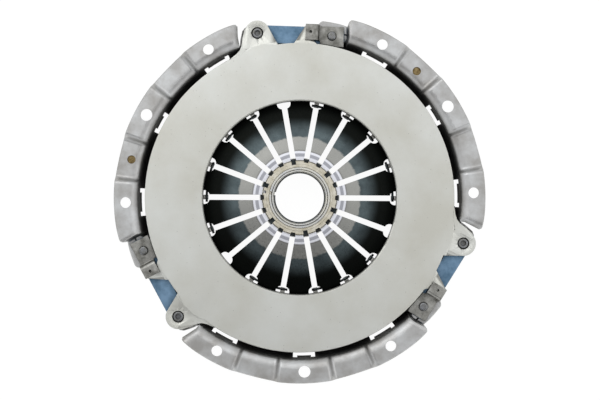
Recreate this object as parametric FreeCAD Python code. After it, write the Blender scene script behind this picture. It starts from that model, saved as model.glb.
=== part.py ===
"""Pull-type clutch cover assembly with its pressure plate, seen from the friction side.

The frame has +Z along the clutch axis towards the flywheel, and its origin is the centre of
the bolt circle on the cover's mounting face.  All sizes are in millimetres and degrees.
"""
import FreeCAD, Part
import math
import os

V = FreeCAD.Vector
AXIS = V(0, 0, 1)
CENTRE = V(0, 0, 0)

# Threefold pattern
SECTORS = 3
SECTOR_STEP = 360.0 / SECTORS
HALF_TURN = 180.0
QUARTER_TURN = 90.0

# Clearances
GAP = 0.3                  # between curved or moving faces
FIT = 0.05                 # running fit of rivets and rings, radial
SHIFT = 1.0                # how far a cutter runs past a face

# Pressure plate.  Its friction face sets the size of all that stands round it
FACE_Z = -3.5              # friction face, at rest against the stop clips
FACE_OUT_R = 118.9
FACE_WIDTH = 44.3          # from the bore to the rim of the face
FACE_IN_R = FACE_OUT_R - FACE_WIDTH
BACK_INSET = 1.5           # the casting is a little smaller behind the lugs
PLATE_BACK_R = FACE_OUT_R - BACK_INSET
PLATE_BODY = 15.0          # thickness of the ring
EDGE_CHAMFER = 0.8
FACE_BREAK = 0.4           # the ground face's outer edge is only broken
LUG_STEP = 0.8             # the lugs lie this much under the friction face
LUG_STEP_RUN = 2.1         # and the step lies this far outside the face
LUG_STEP_R = FACE_OUT_R + LUG_STEP_RUN
LUG_THICK = 8.0
LUG_REACH = 11.7           # from the face's rim to the lug rivets
LUG_RIVET_R = FACE_OUT_R + LUG_REACH
LUG_END_R = 9.6            # rounded end about the rivet
LUG_FOOT_HIGH = 8.5        # angles from the rivet to where the lug meets the ring
LUG_FOOT_LOW = 6.3
LUG_WAIST_HIGH = 5.9       # a point of the wide side's curve, and its height over the ring
LUG_WAIST = 1.3
EAR_FOOT_LOW = 20.7        # stop ear, angles back from the rivet
EAR_SIDE_LOW = 19.5
EAR_TIP_LOW = 19.4
EAR_TIP_HIGH = 16.6
EAR_FOOT_HIGH = 12.4
EAR_REACH = 14.1
EAR_R = FACE_OUT_R + EAR_REACH
HOOK_GROOVE_Z = -13.0      # groove in the bore that holds the retainer hooks
HOOK_GROOVE_DEPTH = 2.2

# Pressed cover.  Its wall stands just outside the casting
SHEET = 4.0                # steel thickness
WALL_CLEARANCE = 0.1       # from the casting's back to the wall's foot, seen from the front
WALL_FOOT_R = PLATE_BACK_R + WALL_CLEARANCE
WALL_DRAFT = 10.9          # lean of the wall from the axis
FLANGE_WIDTH = 24.9        # from the wall's foot to the rim
FLANGE_R = WALL_FOOT_R + FLANGE_WIDTH
FLOOR_WIDTH = 21.5         # from the wall's foot to the opening in the floor
FLOOR_OPEN_R = WALL_FOOT_R - FLOOR_WIDTH
BEND_R = 5.0               # front bend between flange and wall
FLOOR_BEND_R = 5.0         # inside bend between wall and floor
POCKET_TOP = -20.0         # the wall ends here between the segments
SEGMENT_MID = 31.6         # angle of the first flange segment's middle
SEGMENT_LOW = 41.0         # angles from the middle to the segment's two ends
SEGMENT_HIGH = 41.9
END_CHAMFER = 6.0          # corner cut off each end of a segment
SKIRT_DROP = 10.0          # depth of the turned-down flange end
PANEL_INSET = 1.0          # the lowered panels end this far inside the rim
PANEL_R = FLANGE_R - PANEL_INSET
PANEL_NEAR = 9.3           # a lowered panel lies between these two angles from the middle
PANEL_FAR = 21.8
PANEL_DROP = 5.0           # how far the panels lie under the mounting face
STEP_SPAN = 2.0            # angle of the rounded step at each end of a panel
STEP_SECTIONS = 5          # sections that shape a step
SEAM = 0.002               # a step's lofted edge lies this near to a true arc
SHELF_INSET = 4.6          # the strap shelves end this far inside the rim
SHELF_R = FLANGE_R - SHELF_INSET
SHELF_SPAN = 11.1          # angle that the strap shelf takes beside a segment
SHELF_CHAMFER = 4.5
DIMPLE_R = 3.0             # blind locating dimples
DIMPLE_DEPTH = 2.0
DIMPLE_INSET = 9.9         # from the rim
DIMPLE_CIRCLE_R = FLANGE_R - DIMPLE_INSET
DIMPLE_ANGLE = 15.6        # from the middle of a segment
DIMPLED_SEGMENTS = (0, 1)

# Bolt circle
BOLT_INSET = 8.9           # from the rim
BOLT_CIRCLE_R = FLANGE_R - BOLT_INSET
BOLT_HOLE_R = 4.15
MIDDLE_HOLE_R = 4.6
BOLT_STEP = 30.0

# Air windows in the cover's wall, one inside each bolt pad
WINDOW_TOP = -10.0
WINDOW_INSET = 1.5         # a window starts this far inside the wall's foot
WINDOW_DEPTH = 11.5
WINDOW_IN_R = WALL_FOOT_R - WINDOW_INSET
WINDOW_OUT_R = WINDOW_IN_R + WINDOW_DEPTH
WINDOW_MID_HALF = 4.2      # half angle of the middle window
WINDOW_SIDE_HALF = 5.1     # half angle of the two others
EAR_SPAN = 1.5             # relief ears at both ends of a window reach into the bend
EAR_TOP = -2.4

# Release collar
COLLAR_BORE_R = 19.7
NECK_WALL = 2.3
COLLAR_NECK_R = COLLAR_BORE_R + NECK_WALL
BARREL_STEP = 3.8          # the barrel behind the washer is this much larger than the neck
COLLAR_BARREL_R = COLLAR_NECK_R + BARREL_STEP
COLLAR_FLANGE_STEP = 5.2
COLLAR_FLANGE_R = COLLAR_BARREL_R + COLLAR_FLANGE_STEP
COLLAR_FLANGE_THICK = 3.0
SKIRT_STEP = 1.2           # the rear skirt is this much smaller than the barrel
COLLAR_SKIRT_R = COLLAR_BARREL_R - SKIRT_STEP
COLLAR_SKIRT_LENGTH = 11.0
COLLAR_LIP = 1.8           # in front of the snap ring

# Diaphragm spring.  Its windows lie behind the plate's bore, its tips round the collar
FINGERS = 18
SLOT_OFFSET = -0.4         # angle of the first slot
SPRING_THICK = 2.8
TIP_CLEARANCE = 0.8        # from the collar's barrel to the fingertips
TIP_R = COLLAR_BARREL_R + TIP_CLEARANCE
TIP_LAND = 9.8             # length of the flat tips
TIP_BEND_R = TIP_R + TIP_LAND
WIRE_THICK = 1.9           # retainer wires in the windows
WIRE_INSET = 2.2           # from the plate's bore to the wires
WIRE_R = FACE_IN_R - WIRE_INSET
WINDOW_BEFORE_WIRE = 2.4   # the windows start this far inside the wires
SPRING_WINDOW_IN_R = WIRE_R - WINDOW_BEFORE_WIRE
SPRING_WINDOW_LENGTH = 14.0
SPRING_WINDOW_WIDTH = 10.7
SPRING_WINDOW_CORNER = 4.0
SLOT_WIDTH = 4.2
KNEE_R = SPRING_WINDOW_IN_R + SPRING_WINDOW_LENGTH    # the fingers start here
DISC_CONE = 13.0
FINGER_CONE = 7.0

# Ridge on the plate's back that bears on the spring
RIDGE_PAST_KNEE = 6.0
RIDGE_R = KNEE_R + RIDGE_PAST_KNEE
RIDGE_WIDTH = 5.0
RIDGE_HEIGHT = 6.0
RIDGE_COUNT = 9
RIDGE_GAP = 9.0            # angle between two ridge segments

# Fulcrum ring under the spring's rim
FULCRUM_INSET = 5.5        # from the wall's foot
FULCRUM_R = WALL_FOOT_R - FULCRUM_INSET
FULCRUM_WIRE = 4.0
SPRING_OVERHANG = 2.5      # the spring's rim past the fulcrum
SPRING_R = FULCRUM_R + SPRING_OVERHANG

# Retainer wires and hooks
WIRE_SPANS = ((-2.5, 22.5), (37.5, 62.5), (69.0, 82.5))
HOOK_SLOTS = (0, 1, 2, 3, 4)
HOOK_WIDTH = 3.6
HOOK_THICK = 1.1

# Drive straps, from a rivet in the cover's shelf to a rivet in the plate's lug
STRAP_LEAVES = 3
LEAF_THICK = 0.7
STRAP_WIDTH = 13.6
STRAP_OVERHANG = 9.5       # beyond the rivet
STRAP_CORNER = 2.5
RIVET_PAST_SEGMENT = 5.2   # angle from the segment's end to the cover rivet
COVER_RIVET_ANGLE = SEGMENT_MID + SEGMENT_HIGH + RIVET_PAST_SEGMENT
SHELF_RIVET_REACH = 9.6    # from the wall's foot to the cover rivets
COVER_RIVET_R = WALL_FOOT_R + SHELF_RIVET_REACH
STRAP_SPAN = 25.7          # angle between the two rivets of a strap
LUG_ANGLE = COVER_RIVET_ANGLE + STRAP_SPAN

# Rivets
RIVET_SHANK_R = 3.0
RIVET_BACK_R = 5.5
SHELF_BACK_R = 4.2         # smaller back head, close to the cover's wall
RIVET_BACK_HEIGHT = 2.5
LUG_COUNTERBORE_R = 4.6
LUG_COUNTERBORE_DEPTH = 2.6
ROLLED_END_R = 4.05
ROLLED_END_HEIGHT = 2.0
ROLLED_BORE_R = 2.2
ROLLED_BORE_DEPTH = 4.0
CLIP_HEAD_R = 3.6
CLIP_HEAD_HEIGHT = 2.2
HEAD_ROUNDING = 1.4        # of the headed and the rolled ends
ROLL_ROUNDING = 0.8

# Stop clips: along is measured from the cover rivet towards the lug, across is outwards
CLIP_SHEET = 2.0
CLIP_BEND = 0.8            # inside radius of the bends
CLIP_BACK = 9.2
CLIP_FRONT = 9.9
CLIP_INSIDE = 8.4
CLIP_OUTSIDE = 7.2
TAB_REACH = 20.4
TAB_INSIDE = 4.0
TAB_OUTSIDE = 8.1
TAB_HOLE_R = 1.1
CLIP_TO_PLATE = 0.8        # between the clip's inner edge and the plate
TAB_HOLE_ALONG = 16.5
TAB_HOLE_ACROSS = 2.2

# Rings on the release collar
WASHER_OVERLAP = 2.5       # the washer covers this much of the fingertips
WASHER_OUT_R = TIP_R + WASHER_OVERLAP
WASHER_THICK = 2.6
WASHER_RIM_HEIGHT = 0.5
WASHER_NOTCH_WIDTH = 3.4
WASHER_NOTCH_DEPTH = 1.6
WASHER_KEY_DEPTH = 3.6
WASHER_KEY_START = -20.4
WASHER_KEYS = 6
WASHER_HOLE_R = 1.2
WASHER_HOLE_INSET = 1.7
WASHER_HOLE_CIRCLE_R = WASHER_OUT_R - WASHER_HOLE_INSET
SPLIT_ANGLE = 170.5        # where the rings are split
SPLIT_WIDTH = 2.4
SNAP_STEP = 1.4            # the snap ring stands this far out of the neck
SNAP_OUT_R = COLLAR_NECK_R + SNAP_STEP
SNAP_GROOVE_DEPTH = 1.1
SNAP_GROOVE_R = COLLAR_NECK_R - SNAP_GROOVE_DEPTH
SNAP_THICK = 1.8
WASHER_RIM_WIDTH = 2.25
WASHER_RIM_R = SNAP_OUT_R + WASHER_RIM_WIDTH
LOCK_WIRE = 1.8
LOCK_WIRE_R = COLLAR_BORE_R - FIT
LOCK_WIRE_BACK = 4.5       # behind the collar's front end
WAVE_INSET = 0.6
WAVE_OUT_R = COLLAR_FLANGE_R - WAVE_INSET
WAVE_THICK = 1.0
WAVE_HEIGHT = 1.2
WAVE_COUNT = 3


def polar(radius, angle, z=0.0):
    """Return the point at a radius, an angle in degrees and a height."""
    turn = math.radians(angle)
    return V(radius * math.cos(turn), radius * math.sin(turn), z)


def rotated(shape, angle):
    """Return a copy turned about the clutch axis."""
    copy = shape.copy()
    copy.rotate(CENTRE, AXIS, angle)
    return copy


def threefold(shape):
    """Return the copies of a shape for every sector."""
    return [rotated(shape, SECTOR_STEP * k) for k in range(SECTORS)]


def fused(shapes, seam=0.0):
    """Fuse shapes into one solid, closing seams up to a width, and merge the faces that run on."""
    return shapes[0].multiFuse(shapes[1:], seam).removeSplitter()


def ring(out_r, in_r, low, high):
    """Return a flat ring between two heights."""
    outer = Part.makeCylinder(out_r, high - low, V(0, 0, low))
    inner = Part.makeCylinder(in_r, high - low + 2 * SHIFT, V(0, 0, low - SHIFT))
    return outer.cut(inner)


def post(place, radius, low, high):
    """Return a cylinder along the axis at a place of the plan."""
    return Part.makeCylinder(radius, high - low, V(place.x, place.y, low))


def turned(points, start=0.0, sweep=360.0):
    """Revolve a closed outline of (radius, height) points."""
    corners = [V(r, 0, z) for r, z in points]
    face = Part.Face(Part.makePolygon(corners + corners[:1]))
    return rotated(face.revolve(CENTRE, AXIS, sweep), start)


def sector_block(in_r, out_r, start, end, low, high):
    """Return a block between two radii, two angles and two heights."""
    outline = [(in_r, low), (out_r, low), (out_r, high), (in_r, high)]
    return turned(outline, start, end - start)


def prism(points, low, high):
    """Extrude a closed outline of plan points between two heights."""
    corners = [V(p.x, p.y, low) for p in points]
    face = Part.Face(Part.makePolygon(corners + corners[:1]))
    return face.extrude(V(0, 0, high - low))


def edges_between(shape, test):
    """Return the edges whose two ends and middle all pass a test."""
    found = []
    for edge in shape.Edges:
        middle = edge.valueAt((edge.FirstParameter + edge.LastParameter) / 2)
        places = [vertex.Point for vertex in edge.Vertexes] + [middle]
        if all(test(place) for place in places):
            found.append(edge)
    return found


# Heights that follow from the sizes above
PLATE_BACK = FACE_Z - PLATE_BODY
RIDGE_Z = PLATE_BACK - RIDGE_HEIGHT
LUG_TOP = FACE_Z - LUG_STEP
LUG_BACK = FACE_Z - LUG_STEP - LUG_THICK
STRAP_PACK = STRAP_LEAVES * LEAF_THICK
SHELF_DROP = -(LUG_BACK - STRAP_PACK)
DISC_RISE = math.tan(math.radians(DISC_CONE))
FINGER_RISE = math.tan(math.radians(FINGER_CONE))
DISC_DEPTH = SPRING_THICK / math.cos(math.radians(DISC_CONE))
KNEE_Z = RIDGE_Z - GAP + (RIDGE_R - KNEE_R) * DISC_RISE
TIP_Z = KNEE_Z + (KNEE_R - TIP_BEND_R) * FINGER_RISE


def spring_front(radius):
    """Return the height of the spring's front face at a radius."""
    if radius > KNEE_R:
        return KNEE_Z - (radius - KNEE_R) * DISC_RISE
    return min(TIP_Z, KNEE_Z + (KNEE_R - radius) * FINGER_RISE)


FULCRUM_Z = (spring_front(FULCRUM_R) - DISC_DEPTH
             - (FULCRUM_WIRE / 2 + FIT) / math.cos(math.radians(DISC_CONE)))
FLOOR_Z = FULCRUM_Z - FULCRUM_WIRE / 2 - FIT


def wall_r(z):
    """Return the radius of the wall's inner line at a height."""
    return WALL_FOOT_R + (z - FLOOR_Z) * math.tan(math.radians(WALL_DRAFT))


def wall_arc(centre, radius, start, end):
    """Return the middle and the end of a bend in the section plane."""
    middle = math.radians((start + end) / 2)
    last = math.radians(end)
    through = V(centre.x + radius * math.cos(middle), 0, centre.z + radius * math.sin(middle))
    stop = V(centre.x + radius * math.cos(last), 0, centre.z + radius * math.sin(last))
    return through, stop


def section_face(steps):
    """Make a face from corner points and (through, stop) pairs for the bends."""
    edges = []
    here = steps[0]
    for step in steps[1:] + steps[:1]:
        if isinstance(step, tuple):
            edges.append(Part.Arc(here, step[0], step[1]).toShape())
            here = step[1]
        else:
            edges.append(Part.LineSegment(here, step).toShape())
            here = step
    return Part.Face(Part.Wire(edges))


def wall_point(z, inset=0.0):
    """Return the wall's inner line at a height, moved through the sheet by an inset."""
    lean = math.radians(WALL_DRAFT)
    return V(wall_r(z) + inset * math.cos(lean), 0, z - inset * math.sin(lean))


def bend_centre(drop):
    """Return the centre of the bend that joins the wall to a flange at a drop."""
    lean = math.radians(WALL_DRAFT)
    tangent_z = -drop - BEND_R + BEND_R * math.sin(lean)
    return wall_point(tangent_z, BEND_R)


def flange_section(drop, out_r, back_drop):
    """Return the section of a flange from the pocket's height up to its front face.

    The back lies at back_drop, so that a deeper back gives the step between two levels.
    """
    front = bend_centre(drop)
    back = bend_centre(back_drop)
    foot = wall_point(POCKET_TOP)
    back_foot = wall_point(POCKET_TOP, SHEET)
    inner_r = BEND_R - SHEET
    steps = [
        foot,
        wall_point(front.z + BEND_R * math.sin(math.radians(WALL_DRAFT))),
        wall_arc(front, BEND_R, HALF_TURN - WALL_DRAFT, QUARTER_TURN),
        V(out_r, 0, -drop),
        V(out_r, 0, -back_drop - SHEET),
        V(back.x, 0, back.z + inner_r),
        wall_arc(back, inner_r, QUARTER_TURN, HALF_TURN - WALL_DRAFT),
        back_foot,
    ]
    return section_face(steps)


def bowl_section():
    """Return the section of the wall below the pockets and of the floor."""
    lean = math.radians(WALL_DRAFT)
    tangent_z = FLOOR_Z + FLOOR_BEND_R - FLOOR_BEND_R * math.sin(lean)
    centre = wall_point(tangent_z, -FLOOR_BEND_R)
    outer_r = FLOOR_BEND_R + SHEET
    steps = [
        V(FLOOR_OPEN_R, 0, FLOOR_Z),
        V(centre.x, 0, FLOOR_Z),
        wall_arc(centre, FLOOR_BEND_R, -QUARTER_TURN, -WALL_DRAFT),
        wall_point(POCKET_TOP),
        wall_point(POCKET_TOP, SHEET),
        V(centre.x + outer_r * math.cos(lean), 0, centre.z - outer_r * math.sin(lean)),
        wall_arc(centre, outer_r, -WALL_DRAFT, -QUARTER_TURN),
        V(FLOOR_OPEN_R, 0, FLOOR_Z - SHEET),
    ]
    return section_face(steps)


def swept(face, start, end):
    """Revolve a section between two angles."""
    return rotated(face.revolve(CENTRE, AXIS, end - start), start)


def sloping_step(start_drop, start, end_drop, end):
    """Return the rounded step of the sheet from one drop to another between two angles."""
    wires = []
    for k in range(STEP_SECTIONS):
        share = k / (STEP_SECTIONS - 1)
        eased = share * share * (3 - 2 * share)
        drop = start_drop + (end_drop - start_drop) * eased
        out_r = FLANGE_R - PANEL_INSET * drop / PANEL_DROP
        section = flange_section(drop, out_r, drop)
        wires.append(rotated(section.OuterWire, start + (end - start) * share))
    return Part.makeLoft(wires, True, False)


def corner_cut(out_r, angle, inward, size, low):
    """Return the cutter that takes a corner off a segment's end."""
    side = math.degrees(size / out_r) * inward
    points = [
        polar(out_r - size, angle),
        polar(out_r - size, angle - side),
        polar(out_r + size, angle - side),
        polar(out_r + size, angle + side),
        polar(out_r, angle + side),
    ]
    return prism(points, low, SHIFT)


def flange_segment():
    """Return one third of the cover's flange, its steps, shelf and turned ends."""
    wall_angle = math.degrees(SHEET / BOLT_CIRCLE_R)
    half_step = STEP_SPAN / 2
    pad = flange_section(0.0, FLANGE_R, 0.0)
    panel = flange_section(PANEL_DROP, PANEL_R, PANEL_DROP)
    skirt = flange_section(0.0, FLANGE_R, SKIRT_DROP)
    shelf = flange_section(SHELF_DROP, SHELF_R, SHELF_DROP)
    shelf_step = flange_section(0.0, FLANGE_R, SHELF_DROP)
    shelf_end = SEGMENT_HIGH + SHELF_SPAN
    parts = [
        swept(pad, half_step - PANEL_NEAR, PANEL_NEAR - half_step),
        swept(skirt, -SEGMENT_LOW, -SEGMENT_LOW + wall_angle),
        swept(shelf_step, SEGMENT_HIGH - wall_angle, SEGMENT_HIGH),
        swept(shelf, SEGMENT_HIGH, shelf_end),
        swept(pad, -SEGMENT_LOW, -PANEL_FAR - half_step),
        swept(pad, PANEL_FAR + half_step, SEGMENT_HIGH),
    ]
    for side in (-1, 1):
        near, far = sorted((side * PANEL_NEAR, side * PANEL_FAR))
        parts.append(swept(panel, near + half_step, far - half_step))
        parts.append(sloping_step(0.0, near - half_step, PANEL_DROP, near + half_step))
        parts.append(sloping_step(PANEL_DROP, far - half_step, 0.0, far + half_step))
    segment = fused(parts, SEAM)
    cuts = [
        corner_cut(FLANGE_R, -SEGMENT_LOW, 1, END_CHAMFER, POCKET_TOP - SHIFT),
        corner_cut(FLANGE_R, SEGMENT_HIGH, -1, END_CHAMFER, POCKET_TOP - SHIFT),
        corner_cut(SHELF_R, shelf_end, -1, SHELF_CHAMFER, POCKET_TOP - SHIFT),
    ]
    return segment.cut(Part.makeCompound(cuts))


def cover():
    """Return the pressed steel cover."""
    segment = rotated(flange_segment(), SEGMENT_MID)
    shell = fused([swept(bowl_section(), 0.0, 360.0)] + threefold(segment), SEAM)
    cuts = []
    for k in range(SECTORS):
        middle = SEGMENT_MID + SECTOR_STEP * k
        for pad in (-1, 0, 1):
            angle = middle + pad * BOLT_STEP
            hole_r = BOLT_HOLE_R if pad else MIDDLE_HOLE_R
            half = WINDOW_SIDE_HALF if pad else WINDOW_MID_HALF
            cuts.append(post(polar(BOLT_CIRCLE_R, angle), hole_r, -SHEET - SHIFT, SHIFT))
            low = FLOOR_Z - SHEET - SHIFT
            cuts.append(sector_block(WINDOW_IN_R, WINDOW_OUT_R, angle - half, angle + half,
                                     low, WINDOW_TOP))
            for start in (angle - half, angle + half - EAR_SPAN):
                cuts.append(sector_block(WINDOW_IN_R, WINDOW_OUT_R, start, start + EAR_SPAN,
                                         low, EAR_TOP))
        if k in DIMPLED_SEGMENTS:
            place = polar(DIMPLE_CIRCLE_R, middle + DIMPLE_ANGLE)
            cuts.append(post(place, DIMPLE_R, -PANEL_DROP - DIMPLE_DEPTH, SHIFT))
    shelf_back = -SHELF_DROP - SHEET
    for place in cover_rivet_places():
        cuts.append(post(place, RIVET_SHANK_R + FIT, shelf_back - SHIFT, SHIFT))
        cuts.append(post(place, SHELF_BACK_R + GAP, shelf_back - RIVET_BACK_HEIGHT - GAP, shelf_back))
    return shell.cut(Part.makeCompound(cuts))


def cover_rivet_places():
    """Return the plan places of the rivets in the cover's shelves."""
    return [polar(COVER_RIVET_R, COVER_RIVET_ANGLE + SECTOR_STEP * k) for k in range(SECTORS)]


def lug_rivet_places():
    """Return the plan places of the rivets in the plate's lugs."""
    return [polar(LUG_RIVET_R, LUG_ANGLE + SECTOR_STEP * k) for k in range(SECTORS)]


def lug_outline():
    """Return the plan outline of one lug, from its wide foot round its end to the notch."""
    rivet = polar(LUG_RIVET_R, LUG_ANGLE)
    foot_r = PLATE_BACK_R - SHIFT
    high_foot = polar(FACE_OUT_R, LUG_ANGLE + LUG_FOOT_HIGH)
    high_side = polar(LUG_RIVET_R, LUG_ANGLE) + polar(LUG_END_R, LUG_ANGLE + 100.0)
    low_side = rivet + polar(LUG_END_R, LUG_ANGLE - 78.0)
    waist = polar(FACE_OUT_R + LUG_WAIST, LUG_ANGLE + LUG_WAIST_HIGH)
    low_foot = polar(FACE_OUT_R, LUG_ANGLE - LUG_FOOT_LOW)
    inner_high = polar(foot_r, LUG_ANGLE + LUG_FOOT_HIGH)
    inner_low = polar(foot_r, LUG_ANGLE - LUG_FOOT_LOW)
    return Part.Wire([
        Part.LineSegment(inner_high, high_foot).toShape(),
        Part.Arc(high_foot, waist, high_side).toShape(),
        Part.Arc(high_side, rivet + polar(LUG_END_R, LUG_ANGLE), low_side).toShape(),
        Part.LineSegment(low_side, low_foot).toShape(),
        Part.LineSegment(low_foot, inner_low).toShape(),
        Part.LineSegment(inner_low, inner_high).toShape(),
    ])


def lug():
    """Return one lug and the stop ear beside it."""
    body = Part.Face(lug_outline()).extrude(V(0, 0, LUG_THICK + LUG_STEP))
    body.translate(V(0, 0, LUG_BACK))
    foot_r = PLATE_BACK_R - SHIFT
    ear = prism([
        polar(foot_r, LUG_ANGLE - EAR_FOOT_LOW),
        polar(FACE_OUT_R, LUG_ANGLE - EAR_FOOT_LOW),
        polar(LUG_STEP_R, LUG_ANGLE - EAR_SIDE_LOW),
        polar(EAR_R, LUG_ANGLE - EAR_TIP_LOW),
        polar(EAR_R, LUG_ANGLE - EAR_TIP_HIGH),
        polar(FACE_OUT_R, LUG_ANGLE - EAR_FOOT_HIGH),
        polar(foot_r, LUG_ANGLE - EAR_FOOT_HIGH),
    ], LUG_BACK, FACE_Z)
    return [body, ear]


def ridge_segments():
    """Return the interrupted ridge that bears on the spring."""
    step = 360.0 / RIDGE_COUNT
    half = RIDGE_WIDTH / 2
    slope = RIDGE_HEIGHT / 4
    outline = [
        (RIDGE_R - half - slope, PLATE_BACK + SHIFT),
        (RIDGE_R - half - slope, PLATE_BACK),
        (RIDGE_R - half, RIDGE_Z + half / 2),
        (RIDGE_R, RIDGE_Z),
        (RIDGE_R + half, RIDGE_Z + half * DISC_RISE),
        (RIDGE_R + half + slope, PLATE_BACK),
        (RIDGE_R + half + slope, PLATE_BACK + SHIFT),
    ]
    first = turned(outline, RIDGE_GAP / 2, step - RIDGE_GAP)
    return [rotated(first, step * k) for k in range(RIDGE_COUNT)]


def pressure_plate():
    """Return the cast plate with its ground face, lugs, ears and ridge."""
    outline = [
        (FACE_IN_R, PLATE_BACK + EDGE_CHAMFER),
        (FACE_IN_R + EDGE_CHAMFER, PLATE_BACK),
        (PLATE_BACK_R - EDGE_CHAMFER, PLATE_BACK),
        (PLATE_BACK_R, PLATE_BACK + EDGE_CHAMFER),
        (PLATE_BACK_R, LUG_BACK),
        (FACE_OUT_R, LUG_BACK),
        (FACE_OUT_R, FACE_Z - FACE_BREAK),
        (FACE_OUT_R - FACE_BREAK, FACE_Z),
        (FACE_IN_R + EDGE_CHAMFER, FACE_Z),
        (FACE_IN_R, FACE_Z - EDGE_CHAMFER),
    ]
    lugs = [piece for part in lug() for piece in threefold(part)]
    body = fused([turned(outline)] + lugs + ridge_segments())
    cuts = [
        ring(FLANGE_R, LUG_STEP_R, LUG_TOP, FACE_Z + SHIFT),
        ring(FACE_IN_R + HOOK_GROOVE_DEPTH, FACE_IN_R - SHIFT,
             HOOK_GROOVE_Z - HOOK_THICK / 2 - FIT, HOOK_GROOVE_Z + HOOK_THICK / 2 + FIT),
    ]
    for place in lug_rivet_places():
        cuts.append(post(place, RIVET_SHANK_R + FIT, LUG_BACK - SHIFT, LUG_TOP + SHIFT))
        cuts.append(post(place, LUG_COUNTERBORE_R, LUG_TOP - LUG_COUNTERBORE_DEPTH,
                         LUG_TOP + SHIFT))
    return body.cut(Part.makeCompound(cuts))


def spring_window():
    """Return the rounded cutter of one window at the root of a slot."""
    half = SPRING_WINDOW_WIDTH / 2
    low, high = spring_front(SPRING_R) - SPRING_THICK * 2, TIP_Z + SHIFT
    box = Part.makeBox(KNEE_R - SPRING_WINDOW_IN_R, SPRING_WINDOW_WIDTH, high - low,
                       V(SPRING_WINDOW_IN_R, -half, low))
    upright = edges_between(box, lambda p: True)
    upright = [edge for edge in upright if abs(edge.tangentAt(edge.FirstParameter).z) > 0.5]
    return box.makeFillet(SPRING_WINDOW_CORNER, upright)


def diaphragm_spring():
    """Return the slotted disc spring in its free cone."""
    front = [(SPRING_R, spring_front(SPRING_R)), (KNEE_R, KNEE_Z),
             (TIP_BEND_R, TIP_Z), (TIP_R, TIP_Z)]
    back = [(r, z - DISC_DEPTH) for r, z in reversed(front)]
    disc = turned(front + back)
    low, high = back[-1][1] - SHIFT, TIP_Z + SHIFT
    slot = Part.makeBox(SPRING_WINDOW_IN_R, SLOT_WIDTH, high - low, V(0, -SLOT_WIDTH / 2, low))
    slot = slot.translate(V(TIP_R - SLOT_WIDTH, 0, 0))
    slot = slot.common(Part.makeCylinder(KNEE_R - SPRING_WINDOW_CORNER, high - low, V(0, 0, low)))
    cutter = fused([slot, spring_window()])
    step = 360.0 / FINGERS
    cutters = [rotated(cutter, SLOT_OFFSET + step * k) for k in range(FINGERS)]
    return disc.cut(Part.makeCompound(cutters))


def fulcrum_ring():
    """Return the wire ring between the spring's rim and the cover's floor."""
    return Part.makeTorus(FULCRUM_R, FULCRUM_WIRE / 2, V(0, 0, FULCRUM_Z), AXIS)


def strap_frame(k):
    """Return the cover rivet, the direction to the lug rivet and the outward direction."""
    start = cover_rivet_places()[k]
    along = lug_rivet_places()[k] - start
    span = along.Length
    along.normalize()
    across = along.cross(AXIS)
    return start, along, across, span


def on_strap(k, along_mm, across_mm):
    """Return the plan point at distances from a cover rivet."""
    start, along, across, _ = strap_frame(k)
    return start + along * along_mm + across * across_mm


def strap_leaf(k, number):
    """Return one leaf of a strap pack, counted from the lug's side."""
    span = strap_frame(k)[3]
    half = STRAP_WIDTH / 2
    first, last = -STRAP_OVERHANG, span + STRAP_OVERHANG
    corners = [(first, -half, 1, 1), (last, -half, -1, 1), (last, half, -1, -1), (first, half, 1, -1)]
    outline = []
    for number_of_corner, (along, across, inward, upward) in enumerate(corners):
        run = on_strap(k, along + inward * STRAP_CORNER, across)
        rise = on_strap(k, along, across + upward * STRAP_CORNER)
        outline += [rise, run] if number_of_corner % 2 == 0 else [run, rise]
    high = LUG_BACK - LEAF_THICK * number
    leaf = prism(outline, high - LEAF_THICK, high)
    for place in (cover_rivet_places()[k], lug_rivet_places()[k]):
        leaf = leaf.cut(post(place, RIVET_SHANK_R + FIT, high - LEAF_THICK - SHIFT, high + SHIFT))
    return leaf


def rounded_rim(shape, height, radius, rounding):
    """Round the circular edge of a turned shape at a height and a radius."""
    rims = edges_between(shape, lambda p: abs(p.z - height) < FIT
                         and abs(math.hypot(p.x, p.y) - radius) < FIT)
    return shape.makeFillet(rounding, rims)


def clip_section(base_low, tab_high):
    """Return the section of the bent strip, with its length along X."""
    base_high = base_low + CLIP_SHEET
    tab_low = tab_high - CLIP_SHEET
    riser_end = CLIP_FRONT + CLIP_SHEET
    outer = CLIP_BEND + CLIP_SHEET
    steps = [
        V(-CLIP_BACK, 0, base_high),
        V(CLIP_FRONT - CLIP_BEND, 0, base_high),
        wall_arc(V(CLIP_FRONT - CLIP_BEND, 0, base_high + CLIP_BEND), CLIP_BEND, -QUARTER_TURN, 0.0),
        V(CLIP_FRONT, 0, tab_high - outer),
        wall_arc(V(CLIP_FRONT + outer, 0, tab_high - outer), outer, HALF_TURN, QUARTER_TURN),
        V(TAB_REACH, 0, tab_high),
        V(TAB_REACH, 0, tab_low),
        V(riser_end + CLIP_BEND, 0, tab_low),
        wall_arc(V(riser_end + CLIP_BEND, 0, tab_low - CLIP_BEND), CLIP_BEND,
                 QUARTER_TURN, HALF_TURN),
        V(riser_end, 0, base_low + outer),
        wall_arc(V(riser_end - outer, 0, base_low + outer), outer, 0.0, -QUARTER_TURN),
        V(-CLIP_BACK, 0, base_low),
    ]
    return section_face(steps)


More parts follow.
